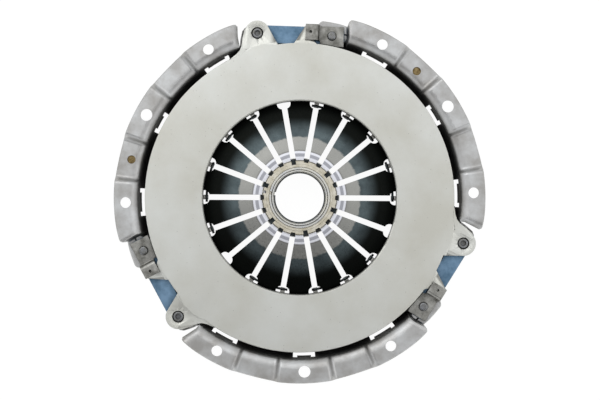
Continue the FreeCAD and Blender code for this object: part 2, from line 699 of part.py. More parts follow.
def stop_clip(k):
    """Return the bent clip that stops the plate's ear."""
    base_low = LUG_BACK
    tab_high = LUG_TOP + GAP + CLIP_SHEET
    start, along, _, _ = strap_frame(k)
    strip = clip_section(base_low, tab_high).extrude(V(0, -CLIP_INSIDE - TAB_OUTSIDE, 0))
    strip.translate(V(0, CLIP_INSIDE, 0))
    strip.rotate(CENTRE, AXIS, math.degrees(math.atan2(along.y, along.x)))
    strip.translate(start)
    low, high = base_low - SHIFT, tab_high + SHIFT
    neck = CLIP_FRONT - CLIP_BEND

    def trim(along_0, along_1, across_0, across_1):
        corners = [(along_0, across_0), (along_1, across_0), (along_1, across_1), (along_0, across_1)]
        return prism([on_strap(k, reach, across) for reach, across in corners], low, high)

    cuts = [
        trim(neck, TAB_REACH + SHIFT, -CLIP_INSIDE - SHIFT, -TAB_INSIDE),
        trim(-CLIP_BACK - SHIFT, neck, CLIP_OUTSIDE, TAB_OUTSIDE + SHIFT),
        ring(FACE_OUT_R + CLIP_TO_PLATE, FACE_IN_R, low, high),
        post(on_strap(k, TAB_HOLE_ALONG, TAB_HOLE_ACROSS), TAB_HOLE_R, low, high),
        post(cover_rivet_places()[k], RIVET_SHANK_R + FIT, low, high),
    ]
    return strip.cut(Part.makeCompound(cuts))


def lug_rivets():
    """Return the tubular rivets that hold the straps to the lugs."""
    top = LUG_TOP - LUG_COUNTERBORE_DEPTH + ROLLED_END_HEIGHT
    seat = LUG_BACK - STRAP_PACK
    seat_of_roll = LUG_TOP - LUG_COUNTERBORE_DEPTH
    outline = [
        (0, seat - RIVET_BACK_HEIGHT),
        (RIVET_BACK_R - EDGE_CHAMFER, seat - RIVET_BACK_HEIGHT),
        (RIVET_BACK_R, seat - RIVET_BACK_HEIGHT + EDGE_CHAMFER),
        (RIVET_BACK_R, seat),
        (RIVET_SHANK_R, seat),
        (RIVET_SHANK_R, seat_of_roll),
        (ROLLED_END_R, seat_of_roll),
        (ROLLED_END_R, top),
        (ROLLED_BORE_R, top),
        (ROLLED_BORE_R, top - ROLLED_BORE_DEPTH),
        (0, top - ROLLED_BORE_DEPTH),
    ]
    rivet = rounded_rim(turned(outline), top, ROLLED_END_R, ROLL_ROUNDING)
    return Part.makeCompound([rivet.translated(place) for place in lug_rivet_places()])


def cover_rivets():
    """Return the solid rivets that hold straps and stop clips to the cover."""
    seat = LUG_BACK + CLIP_SHEET
    back_seat = -SHELF_DROP - SHEET
    outline = [
        (0, back_seat - RIVET_BACK_HEIGHT),
        (SHELF_BACK_R - EDGE_CHAMFER, back_seat - RIVET_BACK_HEIGHT),
        (SHELF_BACK_R, back_seat - RIVET_BACK_HEIGHT + EDGE_CHAMFER),
        (SHELF_BACK_R, back_seat),
        (RIVET_SHANK_R, back_seat),
        (RIVET_SHANK_R, seat),
        (CLIP_HEAD_R, seat),
        (CLIP_HEAD_R, seat + CLIP_HEAD_HEIGHT),
        (0, seat + CLIP_HEAD_HEIGHT),
    ]
    rivet = rounded_rim(turned(outline), seat + CLIP_HEAD_HEIGHT, CLIP_HEAD_R, HEAD_ROUNDING)
    return Part.makeCompound([rivet.translated(place) for place in cover_rivet_places()])


def wire_z():
    """Return the height of the retainer wires' centre, behind the fingers."""
    return spring_front(WIRE_R) - DISC_DEPTH - GAP - WIRE_THICK / 2


def retainer_wires():
    """Return the short wire arcs that show in the spring's windows."""
    circle = Part.makeCircle(WIRE_THICK / 2, V(WIRE_R, 0, wire_z()), V(0, 1, 0))
    face = Part.Face(Part.Wire(circle))
    wires = []
    for start, end in WIRE_SPANS:
        arc = swept(face, start, end)
        wires += threefold(arc)
    return Part.makeCompound(wires)


def retainer_hooks():
    """Return the flat hooks that carry the wires from the plate's bore."""
    inner = WIRE_R - WIRE_THICK / 2 - GAP
    stem = WIRE_R + WIRE_THICK / 2 + FIT
    low = wire_z() - WIRE_THICK / 2 - FIT - HOOK_THICK
    high = HOOK_GROOVE_Z + HOOK_THICK / 2
    half = HOOK_WIDTH / 2
    outline = [
        (inner, low),
        (stem + HOOK_THICK, low),
        (stem + HOOK_THICK, high - HOOK_THICK),
        (FACE_IN_R + HOOK_GROOVE_DEPTH - FIT, high - HOOK_THICK),
        (FACE_IN_R + HOOK_GROOVE_DEPTH - FIT, high),
        (stem, high),
        (stem, low + HOOK_THICK),
        (inner, low + HOOK_THICK),
    ]
    corners = [V(r, -half, z) for r, z in outline]
    hook = Part.Face(Part.makePolygon(corners + corners[:1])).extrude(V(0, HOOK_WIDTH, 0))
    step = 360.0 / FINGERS
    hooks = []
    for slot in HOOK_SLOTS:
        hooks += threefold(rotated(hook, SLOT_OFFSET + step * slot))
    return Part.makeCompound(hooks)


# Heights of the release collar's stack, from the front of the fingertips
WASHER_BACK = TIP_Z + FIT
WASHER_FRONT = WASHER_BACK + WASHER_THICK
SNAP_BACK = WASHER_FRONT + FIT
COLLAR_FRONT = SNAP_BACK + SNAP_THICK + FIT + COLLAR_LIP
TIP_BACK = TIP_Z - DISC_DEPTH
WAVE_FRONT = TIP_BACK - GAP
COLLAR_SEAT = WAVE_FRONT - WAVE_THICK - WAVE_HEIGHT - FIT
COLLAR_BACK = COLLAR_SEAT - COLLAR_FLANGE_THICK - COLLAR_SKIRT_LENGTH
LOCK_Z = COLLAR_FRONT - LOCK_WIRE_BACK


def release_collar():
    """Return the sleeve that takes the release bearing and pulls on the fingers."""
    groove_low = SNAP_BACK - FIT
    groove_high = SNAP_BACK + SNAP_THICK + FIT
    outline = [
        (COLLAR_BORE_R, COLLAR_BACK + EDGE_CHAMFER),
        (COLLAR_BORE_R + EDGE_CHAMFER, COLLAR_BACK),
        (COLLAR_SKIRT_R - EDGE_CHAMFER, COLLAR_BACK),
        (COLLAR_SKIRT_R, COLLAR_BACK + EDGE_CHAMFER),
        (COLLAR_SKIRT_R, COLLAR_SEAT - COLLAR_FLANGE_THICK),
        (COLLAR_FLANGE_R, COLLAR_SEAT - COLLAR_FLANGE_THICK),
        (COLLAR_FLANGE_R, COLLAR_SEAT),
        (COLLAR_BARREL_R, COLLAR_SEAT),
        (COLLAR_BARREL_R, WASHER_BACK - FIT),
        (COLLAR_NECK_R, WASHER_BACK - FIT),
        (COLLAR_NECK_R, groove_low),
        (SNAP_GROOVE_R, groove_low),
        (SNAP_GROOVE_R, groove_high),
        (COLLAR_NECK_R, groove_high),
        (COLLAR_NECK_R, COLLAR_FRONT - EDGE_CHAMFER),
        (COLLAR_NECK_R - EDGE_CHAMFER, COLLAR_FRONT),
        (COLLAR_BORE_R + EDGE_CHAMFER, COLLAR_FRONT),
        (COLLAR_BORE_R, COLLAR_FRONT - EDGE_CHAMFER),
    ]
    groove = Part.makeTorus(LOCK_WIRE_R, LOCK_WIRE / 2 + FIT, V(0, 0, LOCK_Z), AXIS)
    return turned(outline).cut(groove)


def notch(out_r, width, depth):
    """Return the cutter of an edge notch at angle zero."""
    height = COLLAR_FRONT - TIP_BACK
    return Part.makeBox(depth + SHIFT, width, height, V(out_r - depth, -width / 2, TIP_BACK))


def thrust_washer():
    """Return the castellated washer in front of the fingertips."""
    outline = [
        (COLLAR_NECK_R + FIT, WASHER_BACK),
        (WASHER_OUT_R, WASHER_BACK),
        (WASHER_OUT_R, WASHER_FRONT - EDGE_CHAMFER),
        (WASHER_OUT_R - EDGE_CHAMFER, WASHER_FRONT),
        (WASHER_RIM_R, WASHER_FRONT),
        (WASHER_RIM_R, WASHER_FRONT + WASHER_RIM_HEIGHT),
        (SNAP_OUT_R + GAP, WASHER_FRONT + WASHER_RIM_HEIGHT),
        (SNAP_OUT_R + GAP, WASHER_FRONT),
        (COLLAR_NECK_R + FIT, WASHER_FRONT),
    ]
    step = 360.0 / FINGERS
    small = notch(WASHER_OUT_R, WASHER_NOTCH_WIDTH, WASHER_NOTCH_DEPTH)
    key = notch(WASHER_OUT_R, WASHER_NOTCH_WIDTH, WASHER_KEY_DEPTH)
    cuts = [rotated(small, SLOT_OFFSET + step * k) for k in range(FINGERS)]
    cuts += [rotated(key, WASHER_KEY_START + 360.0 / WASHER_KEYS * k) for k in range(WASHER_KEYS)]
    cuts.append(post(polar(WASHER_HOLE_CIRCLE_R, SPLIT_ANGLE), WASHER_HOLE_R,
                     WASHER_BACK - SHIFT, WASHER_FRONT + SHIFT))
    return turned(outline).cut(Part.makeCompound(cuts))


def split_gap(in_r, out_r):
    """Return the cutter of a ring's split."""
    box = Part.makeBox(out_r - in_r, SPLIT_WIDTH, COLLAR_FRONT - COLLAR_BACK,
                       V(in_r, -SPLIT_WIDTH / 2, COLLAR_BACK))
    return rotated(box, SPLIT_ANGLE)


def snap_ring():
    """Return the split ring that holds the washer on the collar."""
    whole = ring(SNAP_OUT_R, SNAP_GROOVE_R + FIT, SNAP_BACK, SNAP_BACK + SNAP_THICK)
    return whole.cut(split_gap(SNAP_GROOVE_R, SNAP_OUT_R + SHIFT))


def bearing_lock_ring():
    """Return the split wire in the collar's bore that catches the release bearing."""
    whole = Part.makeTorus(LOCK_WIRE_R, LOCK_WIRE / 2, V(0, 0, LOCK_Z), AXIS)
    return whole.cut(split_gap(LOCK_WIRE_R - LOCK_WIRE, LOCK_WIRE_R + LOCK_WIRE))


def wave_washer():
    """Return the wave washer that takes up the play behind the fingertips."""
    middle = (COLLAR_SEAT + WAVE_FRONT) / 2
    steps = 6 * WAVE_COUNT
    edges = []
    for radius in (COLLAR_BARREL_R + GAP, WAVE_OUT_R):
        points = []
        for k in range(steps):
            angle = 360.0 * k / steps
            lift = WAVE_HEIGHT / 2 * math.cos(math.radians(WAVE_COUNT * angle))
            points.append(polar(radius, angle, middle + lift - WAVE_THICK / 2))
        curve = Part.BSplineCurve()
        curve.interpolate(points, PeriodicFlag=True)
        edges.append(curve.toShape())
    face = Part.makeRuledSurface(edges[0], edges[1])
    return face.extrude(V(0, 0, WAVE_THICK))


def all_nodes():
    """Return every node's name and shape."""
    nodes = {
        "cover": cover(),
        "pressure_plate": pressure_plate(),
        "diaphragm_spring": diaphragm_spring(),
        "fulcrum_ring": fulcrum_ring(),
        "lug_rivets": lug_rivets(),
        "cover_rivets": cover_rivets(),
        "retainer_wires": retainer_wires(),
        "retainer_hooks": retainer_hooks(),
        "release_collar": release_collar(),
        "thrust_washer": thrust_washer(),
        "snap_ring": snap_ring(),
        "bearing_lock_ring": bearing_lock_ring(),
        "wave_washer": wave_washer(),
    }
    for k in range(SECTORS):
        nodes["stop_clip_%d" % (k + 1)] = stop_clip(k)
        for number in range(STRAP_LEAVES):
            nodes["strap_%d_leaf_%d" % (k + 1, number + 1)] = strap_leaf(k, number)
    return nodes


def main():
    """Build every node and write its STEP file."""
    os.makedirs("parts", exist_ok=True)
    for name, shape in all_nodes().items():
        if not shape.isValid() or any(solid.Volume <= 0 for solid in shape.Solids):
            print("check the shape of", name)
        print(name, len(shape.Solids), "solids", round(shape.Volume / 1000.0, 3), "cm3")
        shape.exportStep("parts/%s.step" % name)


main()
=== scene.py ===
"""The visual model of a pull-type clutch cover assembly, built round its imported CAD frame."""

import logging
import math
from contextlib import contextmanager
from dataclasses import dataclass, field
from enum import Enum
from typing import Callable, Iterator, Optional, Sequence, Union

import bpy
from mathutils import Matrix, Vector
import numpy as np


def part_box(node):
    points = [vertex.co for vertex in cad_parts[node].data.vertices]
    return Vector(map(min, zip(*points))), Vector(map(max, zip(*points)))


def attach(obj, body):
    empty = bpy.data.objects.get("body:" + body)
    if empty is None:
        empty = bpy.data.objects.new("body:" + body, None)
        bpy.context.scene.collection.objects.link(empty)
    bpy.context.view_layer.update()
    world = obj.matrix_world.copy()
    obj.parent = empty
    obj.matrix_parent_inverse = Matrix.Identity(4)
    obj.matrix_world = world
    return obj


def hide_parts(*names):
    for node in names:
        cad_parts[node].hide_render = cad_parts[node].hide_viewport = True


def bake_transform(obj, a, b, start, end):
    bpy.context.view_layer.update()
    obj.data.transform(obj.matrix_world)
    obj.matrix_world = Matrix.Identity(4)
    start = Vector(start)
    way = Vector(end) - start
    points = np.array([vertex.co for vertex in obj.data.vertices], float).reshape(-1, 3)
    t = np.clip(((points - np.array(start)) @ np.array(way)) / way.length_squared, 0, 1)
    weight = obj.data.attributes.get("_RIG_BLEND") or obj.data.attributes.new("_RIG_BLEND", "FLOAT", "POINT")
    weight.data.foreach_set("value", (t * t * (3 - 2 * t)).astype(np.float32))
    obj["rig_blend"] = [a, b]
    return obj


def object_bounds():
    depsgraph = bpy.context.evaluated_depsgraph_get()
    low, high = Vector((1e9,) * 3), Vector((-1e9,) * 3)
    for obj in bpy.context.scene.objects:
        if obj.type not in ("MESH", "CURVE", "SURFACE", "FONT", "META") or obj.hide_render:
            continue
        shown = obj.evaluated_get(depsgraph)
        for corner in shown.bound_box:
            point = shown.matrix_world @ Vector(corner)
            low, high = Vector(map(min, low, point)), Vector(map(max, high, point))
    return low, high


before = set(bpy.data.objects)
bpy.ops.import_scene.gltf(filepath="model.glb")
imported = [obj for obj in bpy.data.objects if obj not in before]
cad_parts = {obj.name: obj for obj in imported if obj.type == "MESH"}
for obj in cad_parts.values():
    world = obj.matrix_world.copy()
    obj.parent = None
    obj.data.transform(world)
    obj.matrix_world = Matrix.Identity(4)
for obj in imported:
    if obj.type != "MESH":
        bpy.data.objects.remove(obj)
CAD_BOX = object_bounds()

log = logging.getLogger("clutch")

Piece = bpy.types.Object
Socket = bpy.types.NodeSocket
Tree = bpy.types.NodeTree

MM = 0.001
SECTORS = 3
SECTOR_STEP = 360.0 / SECTORS
SMOOTH_ANGLE = math.radians(32.0)
# Places nearer than this in mm and angles nearer than this in degrees count as the same.
NEAR_MM = 0.05
TURN_SLACK = 0.1
# How near vertices are welded, in metres: in a mesh from the CAD, and along a drawn seam.
WELD = 1e-6
SEAM_WELD = 1e-5


def polar(radius: float, angle: float, z: float = 0.0) -> Vector:
    """Turn a radius and a height in mm and an angle in degrees into a point in metres.

    Args:
        radius: distance from the clutch axis in mm.
        angle: angle from +X in degrees.
        z: height in mm.

    Returns:
        The point in metres.
    """
    turn = math.radians(angle)
    return Vector((radius * math.cos(turn), radius * math.sin(turn), z)) * MM


def turn_from(point: Vector, middle: float) -> float:
    """Give the angle of a point from a middle angle, from -180 to 180 degrees."""
    angle = math.degrees(math.atan2(point.y, point.x)) - middle
    return (angle + 180.0) % 360.0 - 180.0


def add_node(tree: Tree, kind: str, inputs: Optional[dict] = None,
             **settings: object) -> bpy.types.Node:
    """Add a node, set it and link it.

    Args:
        tree: the node tree.
        kind: the node's class name.
        inputs: values or output sockets by input name or number.
        settings: attributes of the node.

    Returns:
        The new node.
    """
    node = tree.nodes.new(kind)
    for name, value in settings.items():
        setattr(node, name, value)
    for key, value in (inputs or {}).items():
        if isinstance(value, Socket):
            tree.links.new(value, node.inputs[key])
        else:
            node.inputs[key].default_value = value
    return node


def noise(tree: Tree, place: Socket, size_mm: float, detail: float,
          roughness: float = 0.5) -> Socket:
    """Add a noise texture.

    Args:
        tree: the node tree.
        place: the coordinates.
        size_mm: the size of its coarsest spots.
        detail: how many finer layers it has.
        roughness: how strong they are.

    Returns:
        The socket of the noise.
    """
    node = add_node(tree, "ShaderNodeTexNoise",
                    {"Vector": place, "Scale": 1.0 / (size_mm * MM), "Detail": detail,
                     "Roughness": roughness})
    return node.outputs["Fac"]


def map_range(tree: Tree, value: Socket, reach: tuple[float, float],
              result: tuple[float, float] = (0.0, 1.0),
              **settings: object) -> Socket:
    """Map a value's reach onto another, and hold it at both ends.

    Args:
        tree: the node tree.
        value: the value's socket.
        reach: the first and the last value.
        result: what they turn into.
        settings: attributes of the node.

    Returns:
        The socket of the mapped value.
    """
    node = add_node(tree, "ShaderNodeMapRange",
                    {"Value": value, "From Min": reach[0], "From Max": reach[1],
                     "To Min": result[0], "To Max": result[1]}, **settings)
    return node.outputs[0]


def reckon(tree: Tree, operation: str,
           *values: Union[float, Socket]) -> Socket:
    """Reckon with numbers and sockets.

    Args:
        tree: the node tree.
        operation: the math node's operation.
        values: its inputs in order.

    Returns:
        The socket of the result.
    """
    return add_node(tree, "ShaderNodeMath", dict(enumerate(values)), operation=operation).outputs[0]


def mix_colours(tree: Tree, factor: Union[float, Socket],
                first: object, second: object, **settings: object) -> Socket:
    """Mix two colours.

    Args:
        tree: the node tree.
        factor: how much of the second there is.
        first: the first colour or its socket.
        second: the second colour or its socket.
        settings: attributes of the node.

    Returns:
        The socket of the mixed colour.
    """
    node = add_node(tree, "ShaderNodeMix", {"Factor": factor, "A": first, "B": second},
                    data_type="RGBA", **settings)
    return node.outputs["Result"]


def bare_tree(owner: Union[bpy.types.Material, bpy.types.World]) -> Tree:
    """Give the emptied node tree of a material or world.

    Args:
        owner: the material or world.

    Returns:
        Its tree.
    """
    owner.use_nodes = True
    owner.node_tree.nodes.clear()
    return owner.node_tree


class Tone(Enum):
    """The colours of the object's finishes, as sRGB."""

    GROUND = "#d6d7d1"
    GROUND_WARM = "#c8c7bd"
    PIT = "#8d8b84"
    CAST_SKIN = "#6f6f6c"
    SHEET = "#c8c9c8"
    SHEET_DARK = "#a8a6a2"
    STAIN = "#a8946a"
    STAIN_DARK = "#6d5c3c"
    SLATE = "#5d686a"
    SLATE_DARK = "#475052"
    # Painted shadow of the plate on the spring's outer part: near black.
    SCALE = "#151715"
    HARDENED = "#999994"
    HARDENED_LINE = "#7f7e7a"
    # Painted reflections of the bent finger tips, dim and bright.
    BURNISHED = "#a6a7ad"
    POLISHED = "#e6e7ec"
    BLUED = "#7f9cb6"
    BLUED_DARK = "#4f6b80"
    PHOSPHATE = "#adaca6"
    PHOSPHATE_DARK = "#72716b"
    RIVET = "#85878a"
    WIRE = "#4a4a4a"
    TURNED = "#d8d5c9"
    CHROMATE = "#dcd7c8"
    CHROMATE_DARK = "#c0b9a4"
    STUDIO = "#ffffff"
    TENT = "#fbfcff"

    def linear(self) -> tuple[float, float, float, float]:
        """Turn the sRGB code into a linear colour with full alpha.

        Returns:
            The linear red, green, blue and alpha.
        """
        parts = [int(self.value[i:i + 2], 16) / 255.0 for i in (1, 3, 5)]
        straight = [p / 12.92 if p <= 0.04045 else ((p + 0.055) / 1.055) ** 2.4 for p in parts]
        return straight[0], straight[1], straight[2], 1.0


@dataclass(frozen=True)
class Finish:
    """A metal surface with a slow change of tone and a fine grain.

    The tone drifts between two colours over patches, and the grain is in the bump and the
    roughness.  Grain finer than about half a millimetre would vanish in the render, so it is
    drawn a little coarser than life.  Edges catch the light as if they were broken by edge_mm,
    and corners that lie within the shade's reach in mm of each other get painted shade from occlusion.
    """

    name: str
    tone: Tone
    second: Tone
    roughness: float = 0.4
    metallic: float = 1.0
    patch_mm: float = 30.0
    grain_mm: float = 0.8
    grain_height_mm: float = 0.01
    stretch: tuple[float, float, float] = (1.0, 1.0, 1.0)
    edge_mm: float = 0.35
    # Painted shade in corners: how strongly occlusion darkens the colour, and its reach in mm.
    grime: float = 0.4
    grime_mm: float = 6.0

    def colour(self, tree: Tree, place: Socket) -> Socket:
        """Lay the two tones over the surface.

        Args:
            tree: the material's tree.
            place: the object coordinates.

        Returns:
            The colour socket.
        """
        drift = map_range(tree, noise(tree, place, self.patch_mm, 5.0, 0.6), (0.35, 0.65))
        return mix_colours(tree, drift, self.tone.linear(), self.second.linear())

    def build(self) -> bpy.types.Material:
        """Make the material.

        Returns:
            The new material.
        """
        material = bpy.data.materials.new(self.name)
        tree = bare_tree(material)
        place = add_node(tree, "ShaderNodeTexCoord").outputs["Object"]
        along = add_node(tree, "ShaderNodeMapping", {"Vector": place, "Scale": self.stretch})
        grain = noise(tree, along.outputs[0], self.grain_mm, 3.0)
        rough = map_range(tree, grain, (0.3, 0.7), (self.roughness - 0.08, self.roughness + 0.08))
        bump = add_node(tree, "ShaderNodeBump",
                        {"Height": grain, "Distance": self.grain_height_mm * MM})
        if self.edge_mm:
            broken = add_node(tree, "ShaderNodeBevel", {"Radius": self.edge_mm * MM}, samples=6)
            tree.links.new(broken.outputs[0], bump.inputs["Normal"])
        # Painted shade: ambient occlusion darkens the colour in corners, recesses and gaps.
        corner = add_node(tree, "ShaderNodeAmbientOcclusion", {"Distance": self.grime_mm * MM},
                          samples=6)
        dirt = map_range(tree, corner.outputs["AO"], (0.15, 0.75), (1.0 - self.grime, 1.0))
        dark = mix_colours(tree, 1.0, self.colour(tree, place), dirt, blend_type="MULTIPLY")
        shader = add_node(tree, "ShaderNodeBsdfPrincipled",
                          {"Base Color": dark, "Metallic": self.metallic, "Roughness": rough,
                           "Normal": bump.outputs[0]})
        add_node(tree, "ShaderNodeOutputMaterial", {"Surface": shader.outputs[0]})
        return material


@dataclass(frozen=True)
class FingerSteel(Finish):
    """Tempered spring steel, from bright tips over a hardened zone to painted black shade at the rim.

    The tips carry bright and dim rings that are painted reflections of their bends, the hardened
    zone ends in a ragged edge left by its heating coil, and a painted shadow of the plate darkens
    the steel towards the rim.
    """

    # Bright and dim rings near the tips are painted reflections of the bent tips, then the hardened tone.
    bands: tuple[tuple[float, Tone], ...] = (
        (26.0, Tone.POLISHED), (31.6, Tone.POLISHED), (32.2, Tone.BURNISHED),
        (34.2, Tone.BURNISHED), (34.7, Tone.POLISHED), (35.9, Tone.POLISHED),
        (36.5, Tone.HARDENED_LINE), (37.6, Tone.HARDENED), (50.0, Tone.HARDENED))
    hardened_r: float = 47.0
    # Painted shadow of the plate: between these radii the steel fades to near black.
    scale_start_r: float = 50.0
    scale_end_r: float = 63.0
    ragged_mm: float = 4.0

    def ramp(self, tree: Tree, radius: Socket) -> Socket:
        """Lay the painted reflection rings of the tips and the hardened zone.

        Args:
            tree: the material's tree.
            radius: the distance from the axis.

        Returns:
            The colour socket.
        """
        low, high = self.bands[0][0], self.bands[-1][0]
        along = map_range(tree, radius, (low * MM, high * MM))
        ramp = add_node(tree, "ShaderNodeValToRGB", {"Fac": along})
        stops = ramp.color_ramp.elements
        for number, (at, tone) in enumerate(self.bands):
            place = (at - low) / (high - low)
            stop = stops[number] if number < 2 else stops.new(place)
            stop.position = place
            stop.color = tone.linear()
        return ramp.outputs["Color"]

    def colour(self, tree: Tree, place: Socket) -> Socket:
        """Change the tone with the distance from the axis.

        Args:
            tree: the material's tree.
            place: the object coordinates.

        Returns:
            The colour socket.
        """
        slate = Finish.colour(self, tree, place)
        flat = add_node(tree, "ShaderNodeVectorMath", {0: place, 1: (1.0, 1.0, 0.0)},
                        operation="MULTIPLY")
        length = add_node(tree, "ShaderNodeVectorMath", {0: flat.outputs[0]}, operation="LENGTH")
        radius = length.outputs["Value"]
        ragged = noise(tree, place, self.ragged_mm, 4.0, 0.7)
        shift = reckon(tree, "MULTIPLY_ADD", ragged, self.ragged_mm * MM, radius)
        edge = self.hardened_r + self.ragged_mm / 2
        hard = map_range(tree, shift, ((edge - 0.4) * MM, (edge + 0.8) * MM), (1.0, 0.0))
        # Painted shadow: the slate fades to near black towards the rim, where the plate shades the disc.
        scaled = map_range(tree, radius, (self.scale_start_r * MM, self.scale_end_r * MM),
                           interpolation_type="SMOOTHSTEP")
        black = mix_colours(tree, scaled, slate, Tone.SCALE.linear())
        return mix_colours(tree, hard, black, self.ramp(tree, radius))


@dataclass(frozen=True)
class GroundIron(Finish):
    """Grey iron with a ground face and open graphite pits: pale above, cast skin below."""

    face_z: float = -4.6
    pit_mm: float = 2.4

    def colour(self, tree: Tree, place: Socket) -> Socket:
        """Add sparse dark pits to the ground face and the cast skin below it.

        Args:
            tree: the material's tree.
            place: the object coordinates.

        Returns:
            The colour socket.
        """
        base = Finish.colour(self, tree, place)
        cells = add_node(tree, "ShaderNodeTexVoronoi",
                         {"Vector": place, "Scale": 1.0 / (self.pit_mm * MM), "Randomness": 1.0})
        near = map_range(tree, cells.outputs["Distance"], (0.05, 0.16), (0.75, 0.0))
        chance = add_node(tree, "ShaderNodeSeparateColor", {0: cells.outputs["Color"]})
        sparse = reckon(tree, "GREATER_THAN", chance.outputs[0], 0.84)
        pits = reckon(tree, "MULTIPLY", near, sparse)
        spotted = mix_colours(tree, pits, base, Tone.PIT.linear())
        parts = add_node(tree, "ShaderNodeSeparateXYZ", {0: place})
        height = map_range(tree, parts.outputs["Z"], ((self.face_z - 0.2) * MM, self.face_z * MM))
        return mix_colours(tree, height, Tone.CAST_SKIN.linear(), spotted)


class Workshop:
    """The modelling moves and the finishes that all pieces share."""

    def __init__(self) -> None:
        """Make every finish once."""
        # Grey cast iron, ground across: pale, with a soft grey lustre and open graphite pits.
        self.ground_iron = GroundIron("ground grey iron", Tone.GROUND, Tone.GROUND_WARM, 0.40,
                                      patch_mm=70.0, grain_mm=0.7, grain_height_mm=0.012,
                                      stretch=(1.0, 0.3, 1.0), edge_mm=0.5, grime=0.3).build()
        # Hot-rolled sheet, pickled and pressed: satin grey with drawn streaks and dull patches.
        self.pressed_sheet = Finish("pickled pressed sheet", Tone.SHEET, Tone.SHEET_DARK, 0.40,
                                    patch_mm=17.0, grain_mm=1.0, grain_height_mm=0.015,
                                    edge_mm=0.0, grime=0.3, grime_mm=9.0).build()
        # The punched locating marks keep a brown film of old oil.
        self.oiled_mark = Finish("oiled punch mark", Tone.STAIN, Tone.STAIN_DARK, 0.45,
                                 patch_mm=2.5, grain_mm=0.6, grime=0.6, grime_mm=4.0).build()
        # Spring steel, oil tempered: dark and slightly glossy, paler where hardened, with painted highlights
        # at the tips and a painted shadow of the plate towards the rim.
        self.spring_steel = FingerSteel("tempered spring steel", Tone.SLATE, Tone.SLATE_DARK, 0.34,
                                        patch_mm=14.0, grain_mm=0.9, grain_height_mm=0.008,
                                        edge_mm=0.3, grime=0.5).build()
        # Cold-rolled strip, blued in an oven: a grey blue skin that drifts in tone.
        self.blued_strip = Finish("blued spring strip", Tone.BLUED, Tone.BLUED_DARK, 0.36,
                                  patch_mm=16.0, grain_mm=0.6, grain_height_mm=0.006,
                                  edge_mm=0.2, grime=0.6).build()
        # Phosphated strip: mid grey, matt, with brighter rubbed edges and strong painted shade in its
        # corners.
        self.phosphated_clip = Finish("phosphated clip steel", Tone.PHOSPHATE, Tone.PHOSPHATE_DARK,
                                      0.34, patch_mm=6.0, grain_mm=0.5, edge_mm=0.6,
                                      grime=0.8, grime_mm=9.0).build()
        # Cold-headed rivets: smooth steel, with painted shade in the rolled hollow.
        self.rivet_steel = Finish("headed rivet steel", Tone.RIVET, Tone.PHOSPHATE_DARK, 0.26,
                                  patch_mm=3.0, grain_mm=0.4, edge_mm=0.6, grime=0.9,
                                  grime_mm=3.0).build()
        # Drawn wire with its oil film: nearly black.
        self.drawn_wire = Finish("drawn wire", Tone.WIRE, Tone.SLATE_DARK, 0.35,
                                 patch_mm=6.0, grain_mm=0.4, grime=0.6).build()
        # Turned bearing steel: bright, with fine rings from the tool.
        self.turned_steel = Finish("turned steel", Tone.TURNED, Tone.SHEET, 0.26,
                                   patch_mm=9.0, grain_mm=0.5, grime=0.3, grime_mm=3.0).build()
        # Zinc with a yellow chromate: a warm, slightly cloudy grey.
        self.chromate = Finish("yellow chromated steel", Tone.CHROMATE, Tone.CHROMATE_DARK, 0.38,
                               patch_mm=5.0, grain_mm=0.5, edge_mm=0.4, grime=0.55,
                               grime_mm=2.0).build()

    @staticmethod
    def activate(piece: Piece) -> None:
        """Select one object alone and make it active.

        Args:
            piece: the object.
        """
        bpy.ops.object.select_all(action="DESELECT")
        piece.select_set(True)
        bpy.context.view_layer.objects.active = piece

    @contextmanager
    def editing(self, piece: Piece, mode: str = "VERT",
                test: Optional[Callable] = None) -> Iterator[None]:
        """Open a piece in edit mode with only the chosen elements selected.

        Args:
            piece: the object to edit.
            mode: VERT, EDGE or FACE.
            test: says of a vertex, edge or polygon whether it is selected.

        Yields:
            Nothing, while edit mode is on.
        """
        self.activate(piece)
        bpy.ops.object.mode_set(mode="EDIT")
        bpy.ops.mesh.select_mode(type=mode)
        bpy.ops.mesh.select_all(action="DESELECT")
        bpy.ops.object.mode_set(mode="OBJECT")
        mesh = piece.data
        elements = {"VERT": mesh.vertices, "EDGE": mesh.edges, "FACE": mesh.polygons}[mode]
        for element in elements:
            element.select = bool(test and test(element))
        bpy.ops.object.mode_set(mode="EDIT")
        try:
            yield
        finally:
            bpy.ops.object.mode_set(mode="OBJECT")

    def apply_modifier(self, piece: Piece, kind: str, **settings: object) -> None:
        """Add a modifier, set it and apply it.

        Args:
            piece: the object.
            kind: the modifier's type.
            settings: its attributes.
        """
        self.activate(piece)
        modifier = piece.modifiers.new(kind.lower(), kind)
        for name, value in settings.items():
            setattr(modifier, name, value)
        bpy.ops.object.modifier_apply(modifier=modifier.name)

    @staticmethod
    def shrink(share: float) -> None:
        """Scale the selection towards the clutch axis, in edit mode."""
        bpy.ops.transform.resize(value=(share, share, 1.0), center_override=(0.0, 0.0, 0.0))

    @staticmethod
    def lift(height: float) -> None:
        """Raise the selection by a height in mm, in edit mode."""
        bpy.ops.transform.translate(value=(0.0, 0.0, height * MM))

    @staticmethod
    def ends(piece: Piece, edge: bpy.types.MeshEdge) -> list[Vector]:
        """Give the places of an edge's two vertices."""
        return [piece.data.vertices[number].co for number in edge.vertices]

    def weld(self, piece: Piece, near: float) -> None:
        """Merge the vertices of a piece that are nearer to each other than a length in metres."""
        with self.editing(piece, "VERT", lambda vertex: True):
            bpy.ops.mesh.remove_doubles(threshold=near)

